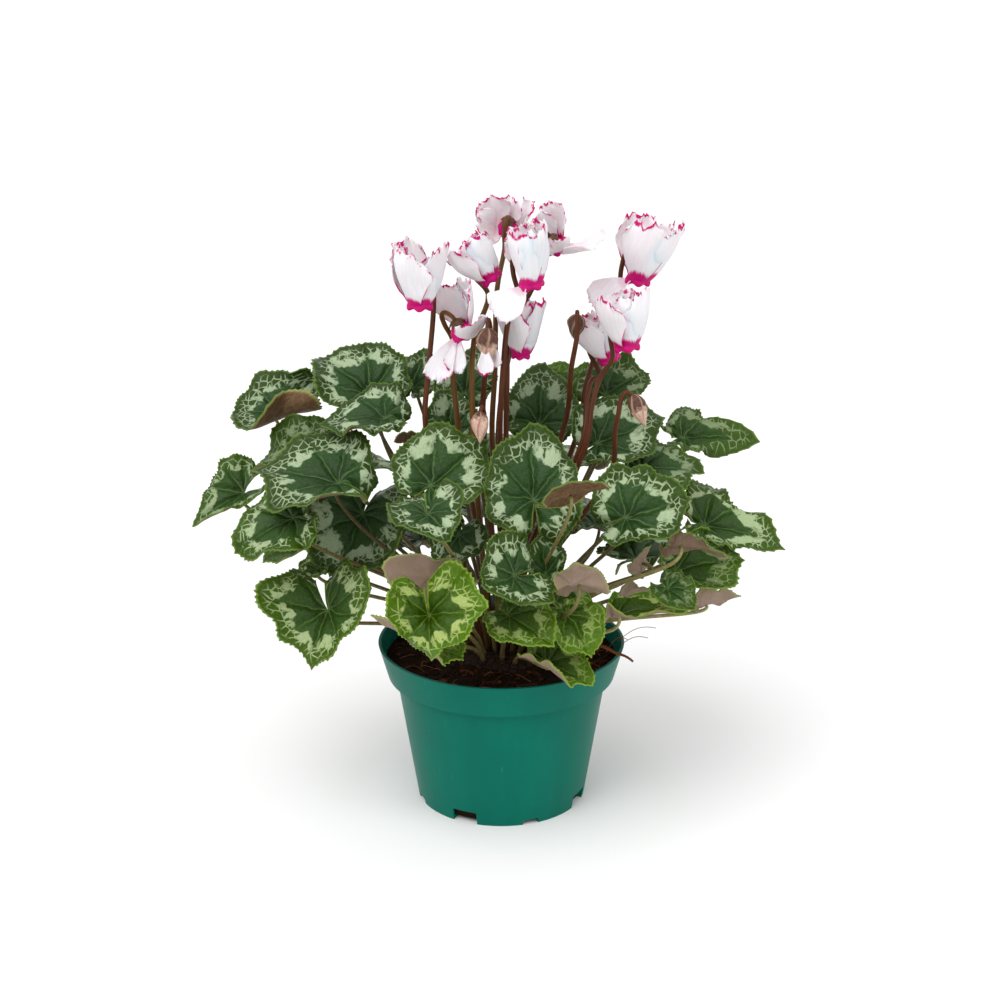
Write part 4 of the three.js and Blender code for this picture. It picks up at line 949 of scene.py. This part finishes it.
def thickened(bm, faces, thick, under):
    """Gives a sheet of faces its thickness, half to each side, and its underside its own finish."""
    bm.normal_update()
    verts = list(dict.fromkeys(vert for face in faces for vert in face.verts))
    offsets = {vert: vert.normal * thick / 2 for vert in verts}
    rim = [(loop, loop.link_loop_next) for face in faces for loop in face.loops if loop.edge.is_boundary]
    copied = bmesh.ops.duplicate(bm, geom=faces)
    below = {vert: copied["vert_map"][vert] for vert in verts}
    backs = [item for item in copied["geom"] if isinstance(item, bmesh.types.BMFace)]
    bmesh.ops.reverse_faces(bm, faces=backs)
    for face in backs:
        face.material_index = under
    layers = [bm.loops.layers.uv["flat"], bm.loops.layers.uv["rim"]]
    note = bm.faces.layers.float_vector["look"]
    for first, second in rim:
        side = bm.faces.new((second.vert, first.vert, below[first.vert], below[second.vert]))
        side[note] = first.face[note]
        side.material_index = first.face.material_index
        for layer in layers:
            for loop, source in zip(side.loops, (second, first, first, second)):
                loop[layer].uv = source[layer].uv
    for vert, offset in offsets.items():
        below[vert].co = vert.co - offset
        vert.co = vert.co + offset


def foot_of(node):
    """Where a node's stems leave the tuber, and the way out of its skin there."""
    middle = Vector((0, 0, tuber_middle))
    shrunk = Matrix.Diagonal([1 / axis for axis in tuber_axes])
    touching = []
    for vert in frame["nodes"][node].data.vertices:
        place = vert.co / MM
        shape = shrunk @ (place - middle)
        slope = shrunk @ shape
        if (shape.length - 1) * shape.length / slope.length < touching_gap:
            touching.append(place)
    foot = sum(touching, Vector()) / len(touching)
    return foot, (shrunk @ shrunk @ (foot - middle)).normalized()


def bezier(points, share):
    """A point of the cubic curve with these four points."""
    rest = 1 - share
    weights = (rest**3, 3 * rest * rest * share, 3 * rest * share * share, share**3)
    return sum((point * weight for point, weight in zip(points, weights)), Vector())


leaf_finishes = [leaf_finish, under_finish, petiole_finish]
by_node = {}
for seed, leaf in enumerate(leaves):
    by_node.setdefault(leaf["node"], []).append((seed, leaf))
for node, members in by_node.items():
    leaf_bm = new_piece()
    foot, foot_out = foot_of(node)
    for seed, leaf in members:
        blade = blade_frame(leaf)
        look = (seed + leaf["silver"] / 2, leaf["young"], leaf["under"])
        form = partial(blade_form, leaf, blade, seed)
        faces = laid_grid(leaf_bm, blade_tooth_columns * blade_teeth, blade_rows, form, look)
        thickened(leaf_bm, faces, blade_thick, leaf_finishes.index(under_finish))
        heart, length, forward, up, left = blade
        sunk = leaf_stalk_sink + funnel_sink * leaf["funnel"] * length
        end = heart - up * sunk + forward * leaf_stalk_ahead
        reach = (end - foot).length
        rise, sag = leaf["stem"]
        way = (foot, foot + foot_out * rise * reach, end - up * sag * reach, end)
        laid_stem(
            leaf_bm,
            partial(bezier, way),
            partial(between, leaf_stalk_base, leaf_stalk_top),
            leaf_stalk_sides,
            leaf_stalk_steps,
            (look[0], leaf["stalk"], 0),
            leaf_finishes.index(petiole_finish),
        )
    fixed(f"{node}_grown", leaf_bm, leaf_finishes, "leaf", node)


# A bloom hangs mouth down from its stalk and sweeps its five petals back up. They are thin and white,
# with a magenta patch at the mouth and a ragged, magenta-edged fringe at their ends.
petal_thick = 0.5
petal_root = 3.8
petal_usual = 27
petal_lift = 1
petal_start = -30
petal_turned = 0.34
petal_count = 5
petal_standing = 70
hanging_eye = 0.25
petal_steps = 60
petal_turn_stops = (0, 0.1, 0.5, 0.75, 1)
petal_turn_slopes = (42, 69, 75, 84, 98)
petal_usual_rise = 92
petal_layer = 1.3
petal_twist = 0.3
petal_stations = (0, 0.12, 0.26, 0.42, 0.64, 0.84, 1)
petal_half_widths = (3.2, 4.8, 7, 9.6, 12, 12.2, 10.4)
petal_cup = 0.42
petal_tilt = 24
petal_tilted = 0.3
petal_broad_teeth = 0.09
petal_fine_teeth = 0.11
petal_lopsided = 0.09
petal_corner = 0.17
petal_fold = 0.5
petal_ripple = 0.9
petal_ruffle = 3.4
petal_frill = 1.3
petal_columns = 46
petal_rows = 22
throat_sides = 50
throat_lobe = 0.07
throat_sag = 0.6
throat = (
    (0, 2.2), (1.6, 1.4), (3.6, 0.3), (4.6, 0), (5.3, 0.2),
    (5.8, 1.2), (5.7, 2.6), (4.6, 5), (3.4, 7.2), (0, 7.2),
)
# Each petal has its turn from the stalk's side and its rise in degrees and its length as a share of the
# bloom's. Some also have how fringed and how narrow they are. One whose rise is low hangs or stands out.
usual_petals = ((-72, 86, 1), (-126, 95, 0.93), (180, 90, 1.02), (126, 97, 0.95), (72, 84, 1.04))

# Petals are thin and satiny and let some light through. Fine rays 1 mm apart run up them. The look holds a
# petal's number (X), how much of the magenta eye it shows (Y) and how fringed it is (Z).
petal_finish, shader, add = new_finish(
    "white petal with magenta eye and fringe",
    Roughness=0.55,
    Subsurface_Weight=0.25,
    Subsurface_Scale=0.002,
    Specular_IOR_Level=0.2,
)
flat, rim, looks = read_maps(add)
across, upward = rim["X"], rim["Y"]
seed = add("CombineXYZ", {2: add("Math", [looks["X"], 5.7], operation="MULTIPLY")})
seeded = add("VectorMath", [flat, seed], operation="ADD")
cloud = add("TexNoise", {"Vector": seeded, "Scale": 0.3, "Detail": 3.0})
rays = add("VectorMath", [seeded, (1.1, 0.12, 1.0)], operation="MULTIPLY")
rays = add("TexNoise", {"Vector": rays, "Scale": 1.0, "Detail": 3.0})
white = add("Mix", {0: rays, 6: linear("#e9e6e9"), 7: linear("#d7d2d7")}, **of_colours)
bow = add("Math", [across, across], operation="MULTIPLY")
eye = add("Math", [bow, -0.1], operation="MULTIPLY")
eye = add("Math", [upward, eye], operation="SUBTRACT")
ragged = add("MapRange", [rays, 0.3, 0.7, -0.025, 0.025])
eye = add("Math", [eye, ragged], operation="ADD")
eye = add("MapRange", [eye, 0.2, 0.28, 1.0, 0.0], interpolation_type="SMOOTHSTEP")
eye = add("Math", [eye, looks["Y"]], operation="MULTIPLY")
depth = add("MapRange", [cloud, 0.45, 0.65, 0.0, 0.05])
top = add("Math", [upward, depth], operation="ADD")
top = add("MapRange", [top, 0.955, 0.985])
patchy = add("MapRange", [cloud, 0.45, 0.55])
top = add("Math", [top, patchy], operation="MULTIPLY")
bleed = add("MapRange", [upward, 0.84, 1.0, 0.0, 0.42])
bleed = add("Math", [bleed, rays], operation="ADD")
bleed = add("MapRange", [bleed, 0.86, 0.94])
bleed = add("Math", [bleed, patchy], operation="MULTIPLY")
flank = add("MapRange", [add("Math", [across], operation="ABSOLUTE"), 0.93, 0.99])
flank_top = add("MapRange", [upward, 0.6, 0.9])
flank_top = add("Math", [flank_top, patchy], operation="MULTIPLY")
flank_foot = add("MapRange", [upward, 0.4, 0.56, 1.0, 0.0])
flank_foot = add("Math", [flank_foot, looks["Y"]], operation="MULTIPLY")
flank_top = add("Math", [flank_top, flank_foot], operation="MAXIMUM")
flank = add("Math", [flank, flank_top], operation="MULTIPLY")
fringe = add("Math", [top, bleed], operation="MAXIMUM")
fringe = add("Math", [fringe, flank], operation="MAXIMUM")
fringe = add("Math", [fringe, looks["Z"]], operation="MULTIPLY")
colour = add("Mix", {0: eye, 6: white, 7: linear("#bd006a")}, **of_colours)
colour = add("Mix", {0: fringe, 6: colour, 7: linear("#b40068")}, **of_colours)
relief = add("Bump", {"Height": rays, "Strength": 0.25, "Distance": 0.0006}, out="Normal")
feed(shader, Base_Color=colour, Normal=relief)


def bloom(stalk, mouth, up, side, length, via, size=1, petals=usual_petals):
    """One bloom: its stalk's node, the middle of its mouth, the way its petals sweep, the side that its
    stalk comes up on, its petals' length, and points that the stalk passes on its way up."""
    up = Vector(up).normalized()
    side = square_to(Vector(side), up)
    frame = (seen(mouth), up, side, up.cross(side), size)
    return {"stalk": stalk, "frame": frame, "length": length, "via": via, "petals": petals}


blooms = [
    bloom("stalk_1", (420, 309, -22), (0.02, 0, 1), (0.6, 0.8, 0), 29, ((426, 432, -16), (429, 365, -14)),
          petals=((-72, 92, 1), (-126, 96, 0.8), (180, 84, 0.98), (126, 94, 0.95), (72, 88, 1.04))),
    bloom("stalk_2", (493, 281, -8), (-0.6, 0, 0.8), (-0.5, 0.6, -0.4), 22,
          ((473, 427, -12), (474, 340, -10)), 0.9),
    bloom("stalk_3", (532, 288, -20), (-0.2, -0.1, 1), (-0.75, 0.65, 0), 27,
          ((500, 438, -14), (503, 370, -18), (509, 318, -18)),
          petals=((-66, 92, 1), (-123, 90, 1), (172, 92, 1), (112, 98, 1), (74, -30, 0.68, 0.15))),
    bloom("stalk_4", (508, 231, 29), (0, -0.65, 0.75), (-0.2, -0.7, -0.6), 17.5,
          ((492, 438, 0), (495, 370, 4), (497, 290, 12)), 0.85,
          ((-60, 55, 1), (-122, 62, 1), (180, 60, 0.8), (122, 62, 1), (60, 55, 0.9))),
    bloom("stalk_5", (557, 250, 7), (-0.4, -0.45, 0.8), (-0.7, 0.6, -0.4), 24,
          ((498, 438, 8), (506, 370, 8), (522, 310, 8)), 0.85,
          ((-60, 86, 0.7), (-112, 80, 0.85), (168, 22, 1, 0.1), (118, 74, 0.6), (60, 80, 0.6))),
    bloom("stalk_6", (637, 284, 6), (0.12, 0, 1), (-0.8, 0.6, 0), 32,
          ((579, 430, 14), (586, 385, 16), (602, 335, 27)),
          petals=((-56, 84, 1), (-118, 84, 0.9), (180, 80, 1.02), (118, 84, 1), (54, -45, 0.64, 0.2))),
    bloom("stalk_7", (627, 350, -16), (-0.1, 0, 1), (-0.72, 0.7, 0), 26,
          ((586, 446, -16), (592, 405, -12), (601, 376, -8))),
    bloom("stalk_7", (611, 362, 9), (-0.45, 0.1, 0.9), (-0.9, 0.5, 0), 24,
          ((583, 440, -10), (587, 400, 0), (592, 380, 8)), 0.9),
    bloom("stalk_9", (463, 336, -14), (-0.35, -0.4, 0.85), (-0.8, 0.6, 0.1), 25,
          ((459, 431, -8), (452, 360, -8)), 0.9,
          ((-64, 86, 0.9), (-122, 84, 1), (176, 60, 0.6), (98, -40, 0.6, 1, 0.6),
           (72, -34, 0.86, 1, 0.66))),
    bloom("stalk_3", (521, 358, -4), (0, 0, 1), (-0.9, 0.4, 0), 27,
          ((506, 425, -4), (507, 385, -4)), 0.74),
]


def spread_over(stops, values, at):
    """The value at a place between stops, on straight lines from one to the next."""
    for low, high, first, last in zip(stops, stops[1:], values, values[1:]):
        if at <= high:
            return between(first, last, (at - low) / (high - low))
    return values[-1]


def petal_path(size, length, rise):
    """A petal's line from its root: how far out and up it is, and its slope, for equal steps."""
    out, height = size * petal_root, size * petal_lift
    line = []
    for i in range(petal_steps + 1):
        share = i / petal_steps
        if rise > petal_standing:
            slope = spread_over(petal_turn_stops, petal_turn_slopes, share) + rise - petal_usual_rise
        else:
            slope = between(petal_start, rise, ease(share, 0, petal_turned))
        slope = math.radians(slope)
        line.append((out, height, slope))
        out += length / petal_steps * math.cos(slope)
        height += length / petal_steps * math.sin(slope)
    return line


def petal_form(frame, line, length, rise, turn, width, seed, x, y):
    """A point of a petal: x runs across it and y from its root to its fringe."""
    mouth, up, side, turnwise, size = frame
    across = 2 * x - 1
    teeth = petal_broad_teeth * noise.noise(Vector((2.6 * across, 1.7 * seed, 0)))
    teeth += petal_fine_teeth * max(0, noise.noise(Vector((9 * across, 2.3 * seed, 5)))) ** 0.8
    lopsided = petal_lopsided * math.sin(2.4 * seed) * across
    corner = petal_corner * abs(across) ** 3
    reach = y * (1 + (teeth + lopsided - corner) * ease(y, 0.4, 1))
    step = min(max(reach, 0) * petal_steps, petal_steps - 0.001)
    low, high = line[int(step)], line[int(step) + 1]
    out, height, slope = (between(a, b, step - int(step)) for a, b in zip(low, high))
    if reach > 1:
        out += (reach - 1) * length * math.cos(slope)
        height += (reach - 1) * length * math.sin(slope)
    half = spread_over(petal_stations, petal_half_widths, y) * width
    half *= 1 + 0.05 * y * math.sin(9 * y + seed)
    wrap = ease(y, 0, 0.3) if rise > petal_standing else 0
    turn += wrap * (across * half / (out + 0.5) + petal_twist * (y - 0.3))
    around = way_round(side, turnwise, turn)
    sideways = up.cross(around)
    outer = around * math.sin(slope) - up * math.cos(slope)
    tilt = math.radians(petal_tilt) * ease(y, 0, petal_tilted) * (1 - wrap)
    level = sideways * math.cos(tilt) + outer * math.sin(tilt)
    normal = outer * math.cos(tilt) - sideways * math.sin(tilt)
    fold = petal_fold * math.sin(3.4 * across + seed) * math.sin(math.pi * y) * ease(y, 0.2, 0.5)
    frill = petal_ripple * size * ease(y, 0.8, 1.02) ** 2 * math.sin(7 * across + 3 * seed)
    frill += petal_ruffle * size * ease(y, 0.55, 1) * noise.noise(Vector((1.1 * across, y, 1.3 * seed)))
    frill += petal_frill * size * ease(y, 0.88, 1) * noise.noise(Vector((5 * across, 3.1 * seed, 2)))
    place = mouth + around * out + up * height + level * (1 - wrap) * across * half
    place += normal * (fold + frill + petal_layer * wrap * across)
    place -= normal * (1 - wrap) * petal_cup * half * across * across
    return place, (across * half / flat_unit, y * length / flat_unit), (across, y)


def in_bloom(frame, out, height, turn=0):
    """A place in a bloom: out from its axis at a turn from the stalk's side, and up from its mouth."""
    mouth, up, side, turnwise, size = frame
    return mouth + (way_round(side, turnwise, turn) * out + up * height) * size


for i, flower in enumerate(blooms):
    bloom_bm = new_piece()
    axes = flower["frame"]
    for j, (turn, rise, share, *more) in enumerate(flower["petals"]):
        fringed, narrow = (*more, 1, 1)[:2]
        length = share * flower["length"]
        seed = petal_count * i + j
        line = petal_path(axes[4], length, rise)
        width = narrow * math.sqrt(axes[4] * flower["length"] / petal_usual * share)
        form = partial(petal_form, axes, line, length, rise, math.radians(turn), width, seed)
        eye = 1 if rise > petal_standing else hanging_eye
        faces = laid_grid(bloom_bm, petal_columns, petal_rows, form, (seed, eye, fringed))
        thickened(bloom_bm, faces, petal_thick, 0)
    rows = len(throat) - 1

    def throat_form(x, y):
        """A point of the throat, a ring with a lobe under each of the five petals."""
        out, height = throat[rows - round(y * rows)]
        lobe = math.cos(petal_count * x * math.tau + i) * ease(out, 3, 5)
        place = in_bloom(axes, out * (1 + throat_lobe * lobe), height - throat_sag * lobe, -x * math.tau)
        return place, (x * 0.3, 0), (0, 0)

    laid_grid(bloom_bm, throat_sides, rows, throat_form, (petal_count * i, 1, 0))
    fixed(f"bloom_{i + 1}_petals", bloom_bm, [petal_finish], "petal", f"bloom_{i + 1}")


# Each stalk is a smooth, red-brown, fleshy stem. It rises from the tuber past its bloom's mouth and
# hooks over into the calyx, a cup of five pointed brown sepals.
flower_stalk_base = 1.4
flower_stalk_top = 0.95
flower_stalk_sides = 12
flower_stalk_steps = 5
stalk_lift = 0.3
stalk_hook = ((9.4, -5), (9.6, 6), (8.4, 12.5), (4.6, 15), (1, 13), (0, 9.4))
sepal_count = 5
sepal_steps = 8
sepal_half = 2.5
sepal_thick = 0.45
cap = ((0, 10.9), (1.4, 10.7), (2.4, 9.9), (3.1, 8.4), (2.9, 7.3), (0, 7.2))
cap_rows = len(cap) - 1
cap_sides = 16
# How golden a stalk is. Most are nearly red.
usual_gold = 0.1
golden = {"stalk_2": 0.8, "stalk_4": 0.5, "stalk_9": 0.6}

# A flower stalk is smooth and glossy, with a fine grain along it. The look holds how golden it is (Y), and
# where it is the matt, mottled brown of a sepal (Z).
stalk_finish, shader, add = new_finish("red-brown flower stalk", Roughness=0.42, Specular_IOR_Level=0.2)
flat, rim, looks = read_maps(add)
grain = add("VectorMath", [flat, (1.6, 0.09, 1.0)], operation="MULTIPLY")
grain = add("TexNoise", {"Vector": grain, "Scale": 1.0, "Detail": 3.0})
red = add("Mix", {0: grain, 6: linear("#2e1106"), 7: linear("#5c2a12")}, **of_colours)
gold = add("Mix", {0: grain, 6: linear("#4d3110"), 7: linear("#7e5a22")}, **of_colours)
flesh = add("Mix", {0: looks["Y"], 6: red, 7: gold}, **of_colours)
sepal = add("TexNoise", {"Vector": flat, "Scale": 0.8, "Detail": 3.0})
sepal = add("Mix", {0: sepal, 6: linear("#352014"), 7: linear("#6f5138")}, **of_colours)
flesh = add("Mix", {0: looks["Z"], 6: flesh, 7: sepal}, **of_colours)
relief = add("Bump", {"Height": grain, "Strength": 0.3, "Distance": 0.0004}, out="Normal")
feed(shader, Base_Color=flesh, Normal=relief)


def through(points, share):
    """A point of the smooth line through points, as a share of its spans. It is a centripetal spline."""
    spans = len(points) - 1
    span = min(int(share * spans), spans - 1)
    part = share * spans - span
    first, last = points[span], points[span + 1]
    before = points[span - 1] if span > 0 else 2 * points[0] - points[1]
    after = points[span + 2] if span + 2 <= spans else 2 * points[-1] - points[-2]
    gaps = [math.sqrt((b - a).length) for a, b in ((before, first), (first, last), (last, after))]
    lead = (first - before) / gaps[0] - (last - before) / (gaps[0] + gaps[1]) + (last - first) / gaps[1]
    tail = (last - first) / gaps[1] - (after - first) / (gaps[1] + gaps[2]) + (after - last) / gaps[2]
    lead, tail = lead * gaps[1], tail * gaps[1]
    square = 3 * (last - first) - 2 * lead - tail
    cube = 2 * (first - last) + lead + tail
    return first + part * (lead + part * (square + part * cube))


def flower_stalk(bm, node, via, hook, gold, finish):
    """Lays a flower's stalk from its foot on the tuber, by the points that it passes, to its hook."""
    foot, out = foot_of(node)
    way = [seen(place) for place in via]
    lift = foot + out * stalk_lift * (way[0] - foot).length
    points = [foot, lift, *way, *hook]
    thickness = partial(between, flower_stalk_base, flower_stalk_top)
    steps = flower_stalk_steps * (len(points) - 1)
    laid_stem(bm, partial(through, points), thickness, flower_stalk_sides, steps, (0, gold, 0), finish)


by_stalk = {}
for flower in blooms:
    by_stalk.setdefault(flower["stalk"], []).append(flower)
for node, flowers in by_stalk.items():
    stalk_bm = new_piece()
    gold = golden.get(node, usual_gold)
    for flower in flowers:
        axes = flower["frame"]
        hook = [in_bloom(axes, *place) for place in stalk_hook]
        flower_stalk(stalk_bm, node, flower["via"], hook, gold, 0)
        for i in range(sepal_count):

            def sepal_form(x, y):
                """A point of a sepal, which lies over the petals' roots and narrows to a point."""
                half = sepal_half * math.sin(math.pi * min(1, 0.22 + 0.78 * y)) ** 0.8 * (1 - y) ** 0.35
                out = 0.9 + 3.8 * y**0.8 - 0.35 * (2 * x - 1) ** 2
                height = 10.2 - 3.6 * y * y
                turn = math.tau * (i + 0.5) / sepal_count - (2 * x - 1) * half / max(out, 1.2)
                place = in_bloom(axes, out, height, turn)
                return place, (x * 0.03, y * 0.05), (2 * x - 1, y)

            faces = laid_grid(stalk_bm, sepal_steps, sepal_steps, sepal_form, (0, gold, 1))
            thickened(stalk_bm, faces, sepal_thick, 0)

        def cap_form(x, y):
            """A point of the cap that closes the calyx round the stalk's end."""
            out, height = cap[cap_rows - round(y * cap_rows)]
            return in_bloom(axes, out, height, -x * math.tau), (x * 0.2, y * 0.05), (0, 0)

        laid_grid(stalk_bm, cap_sides, cap_rows, cap_form, (0, gold, 1))
    fixed(f"{node}_grown", stalk_bm, [stalk_finish], "flower_stalk", node)


# The buds are furled petals, twisted to a point, under brown sepals. Each nods from the hook of its own
# stalk. The first is opening and shows its white, fringed petals.
bud_stops = (0, 0.02, 0.06, 0.16, 0.28, 0.4, 0.55, 0.7, 0.82, 0.93, 1)
bud_widths = (0, 0.22, 0.5, 0.84, 1, 0.98, 0.86, 0.6, 0.36, 0.14, 0)
bud_sides = 30
bud_rows = 24
bud_twist = 5
bud_flute = 0.09
bud_hook = ((1.6, 0.8), (1.35, 0.1), (0.7, -0.25), (0, 0.1))
opening_columns = 20
opening_rows = 16
opening_furled = 0.72
opening_mouth = 0.42
opening_reach = 0.52
opening_size = 0.3
opening_eye = 0.2
opening_seed = 60
# The petals that are open have their turn and rise in degrees and their length as a share of the longest.
opening = {"bud_1": ((170, -88, 1), (300, -90, 0.8))}

# A bud's skin is satiny: brown sepals over tan petal tips, mottled in spots of 2 mm, with a pink seam where
# one furled petal laps the next. The look's Z holds how much of the petals is bare.
bud_finish, shader, add = new_finish("furled bud under brown sepals", Roughness=0.5, Specular_IOR_Level=0.2)
flat, rim, looks = read_maps(add)
mottle = add("TexNoise", {"Vector": flat, "Scale": 0.6, "Detail": 4.0})
brown = add("Mix", {0: mottle, 6: linear("#2f1c14"), 7: linear("#6e4a3c")}, **of_colours)
tan = add("Mix", {0: mottle, 6: linear("#9a7a5e"), 7: linear("#dcc0ae")}, **of_colours)
twist = add("Math", [rim["Y"], 0.8], operation="MULTIPLY")
seam = add("Math", [rim["X"], 5.0], operation="MULTIPLY")
seam = add("Math", [seam, twist], operation="SUBTRACT")
seam = add("Math", [seam, 0.5], operation="PINGPONG")
pale_edge = add("MapRange", [seam, 0.02, 0.16, 0.75, 0.0])
brown = add("Mix", {0: pale_edge, 6: brown, 7: linear("#a58a72")}, **of_colours)
tan = add("Mix", {0: pale_edge, 6: tan, 7: linear("#9c4f60")}, **of_colours)
bare = add("Math", [mottle, 0.3], operation="MULTIPLY")
for part in (rim["Y"], looks["Z"]):
    bare = add("Math", [bare, part], operation="ADD")
bare = add("MapRange", [bare, 1.02, 1.2])
skin = add("Mix", {0: bare, 6: brown, 7: tan}, **of_colours)
relief = add("Bump", {"Height": mottle, "Strength": 0.3, "Distance": 0.0006}, out="Normal")
feed(shader, Base_Color=skin, Normal=relief)

# Each row has a bud's node, where its top and tip are seen, the side that its stalk comes up on, its
# radius, the points that its stalk passes and how bare its petals are.
for node, top, tip, side, radius, via, bareness in (
    ("bud_1", (487, 327, -26), (489, 379, -26), (0.2, 1, 0), 5, ((483, 408, -4), (487, 360, -10)), 0.5),
    ("bud_2", (577, 314, -8), (575, 340, -6), (0, -1, 0), 4.2, ((566, 420, 4), (571, 370, -10)), -0.2),
    ("bud_3", (632, 394, -34), (646, 427, -36), (-1, 0, 0.1), 4, ((611, 472, -22), (615, 432, -31)), 0.5),
    ("bud_4", (480, 411, -30), (480, 444, -34), (0.3, 0.9, 0), 4, ((484, 450, -20),), 0.75),
):
    bud_bm = new_piece()
    bud_finishes = [bud_finish, stalk_finish, petal_finish]
    top = seen(top)
    down = seen(tip) - top
    length = down.length
    down = down.normalized()
    side = square_to(Vector(side), down)
    turnwise = down.cross(side)
    furled = length * (opening_furled if node in opening else 1)

    def furled_form(x, y):
        """A point of the furled petals: x runs round them and y from the stalk down to their tip."""
        out = spread_over(bud_stops, bud_widths, y)
        turn = x * math.tau
        out *= 1 + bud_flute * math.sin(petal_count * turn - bud_twist * y) * ease(y, 0.15, 0.4)
        away = way_round(side, turnwise, turn)
        return top + away * out * radius + down * y * furled, (x * 0.25, y * 0.2), (x, y)

    laid_grid(bud_bm, bud_sides, bud_rows, furled_form, (0, 0, bareness))
    axes = (top + down * opening_mouth * length, -down, side, -turnwise, opening_size)
    for seed, (turn, rise, share) in enumerate(opening.get(node, ()), opening_seed):
        reach = opening_reach * length * share
        line = petal_path(opening_size, reach, rise)
        form = partial(petal_form, axes, line, reach, rise, math.radians(turn), opening_size, seed)
        white = bud_finishes.index(petal_finish)
        faces = laid_grid(bud_bm, opening_columns, opening_rows, form, (seed, opening_eye, 1), white)
        thickened(bud_bm, faces, petal_thick, white)
    hook = [top + side * out * radius - Vector((0, 0, 2 * along * radius)) for out, along in bud_hook]
    flower_stalk(bud_bm, node, via, hook, usual_gold, bud_finishes.index(stalk_finish))
    fixed(f"{node}_furled", bud_bm, bud_finishes, "bud", node)
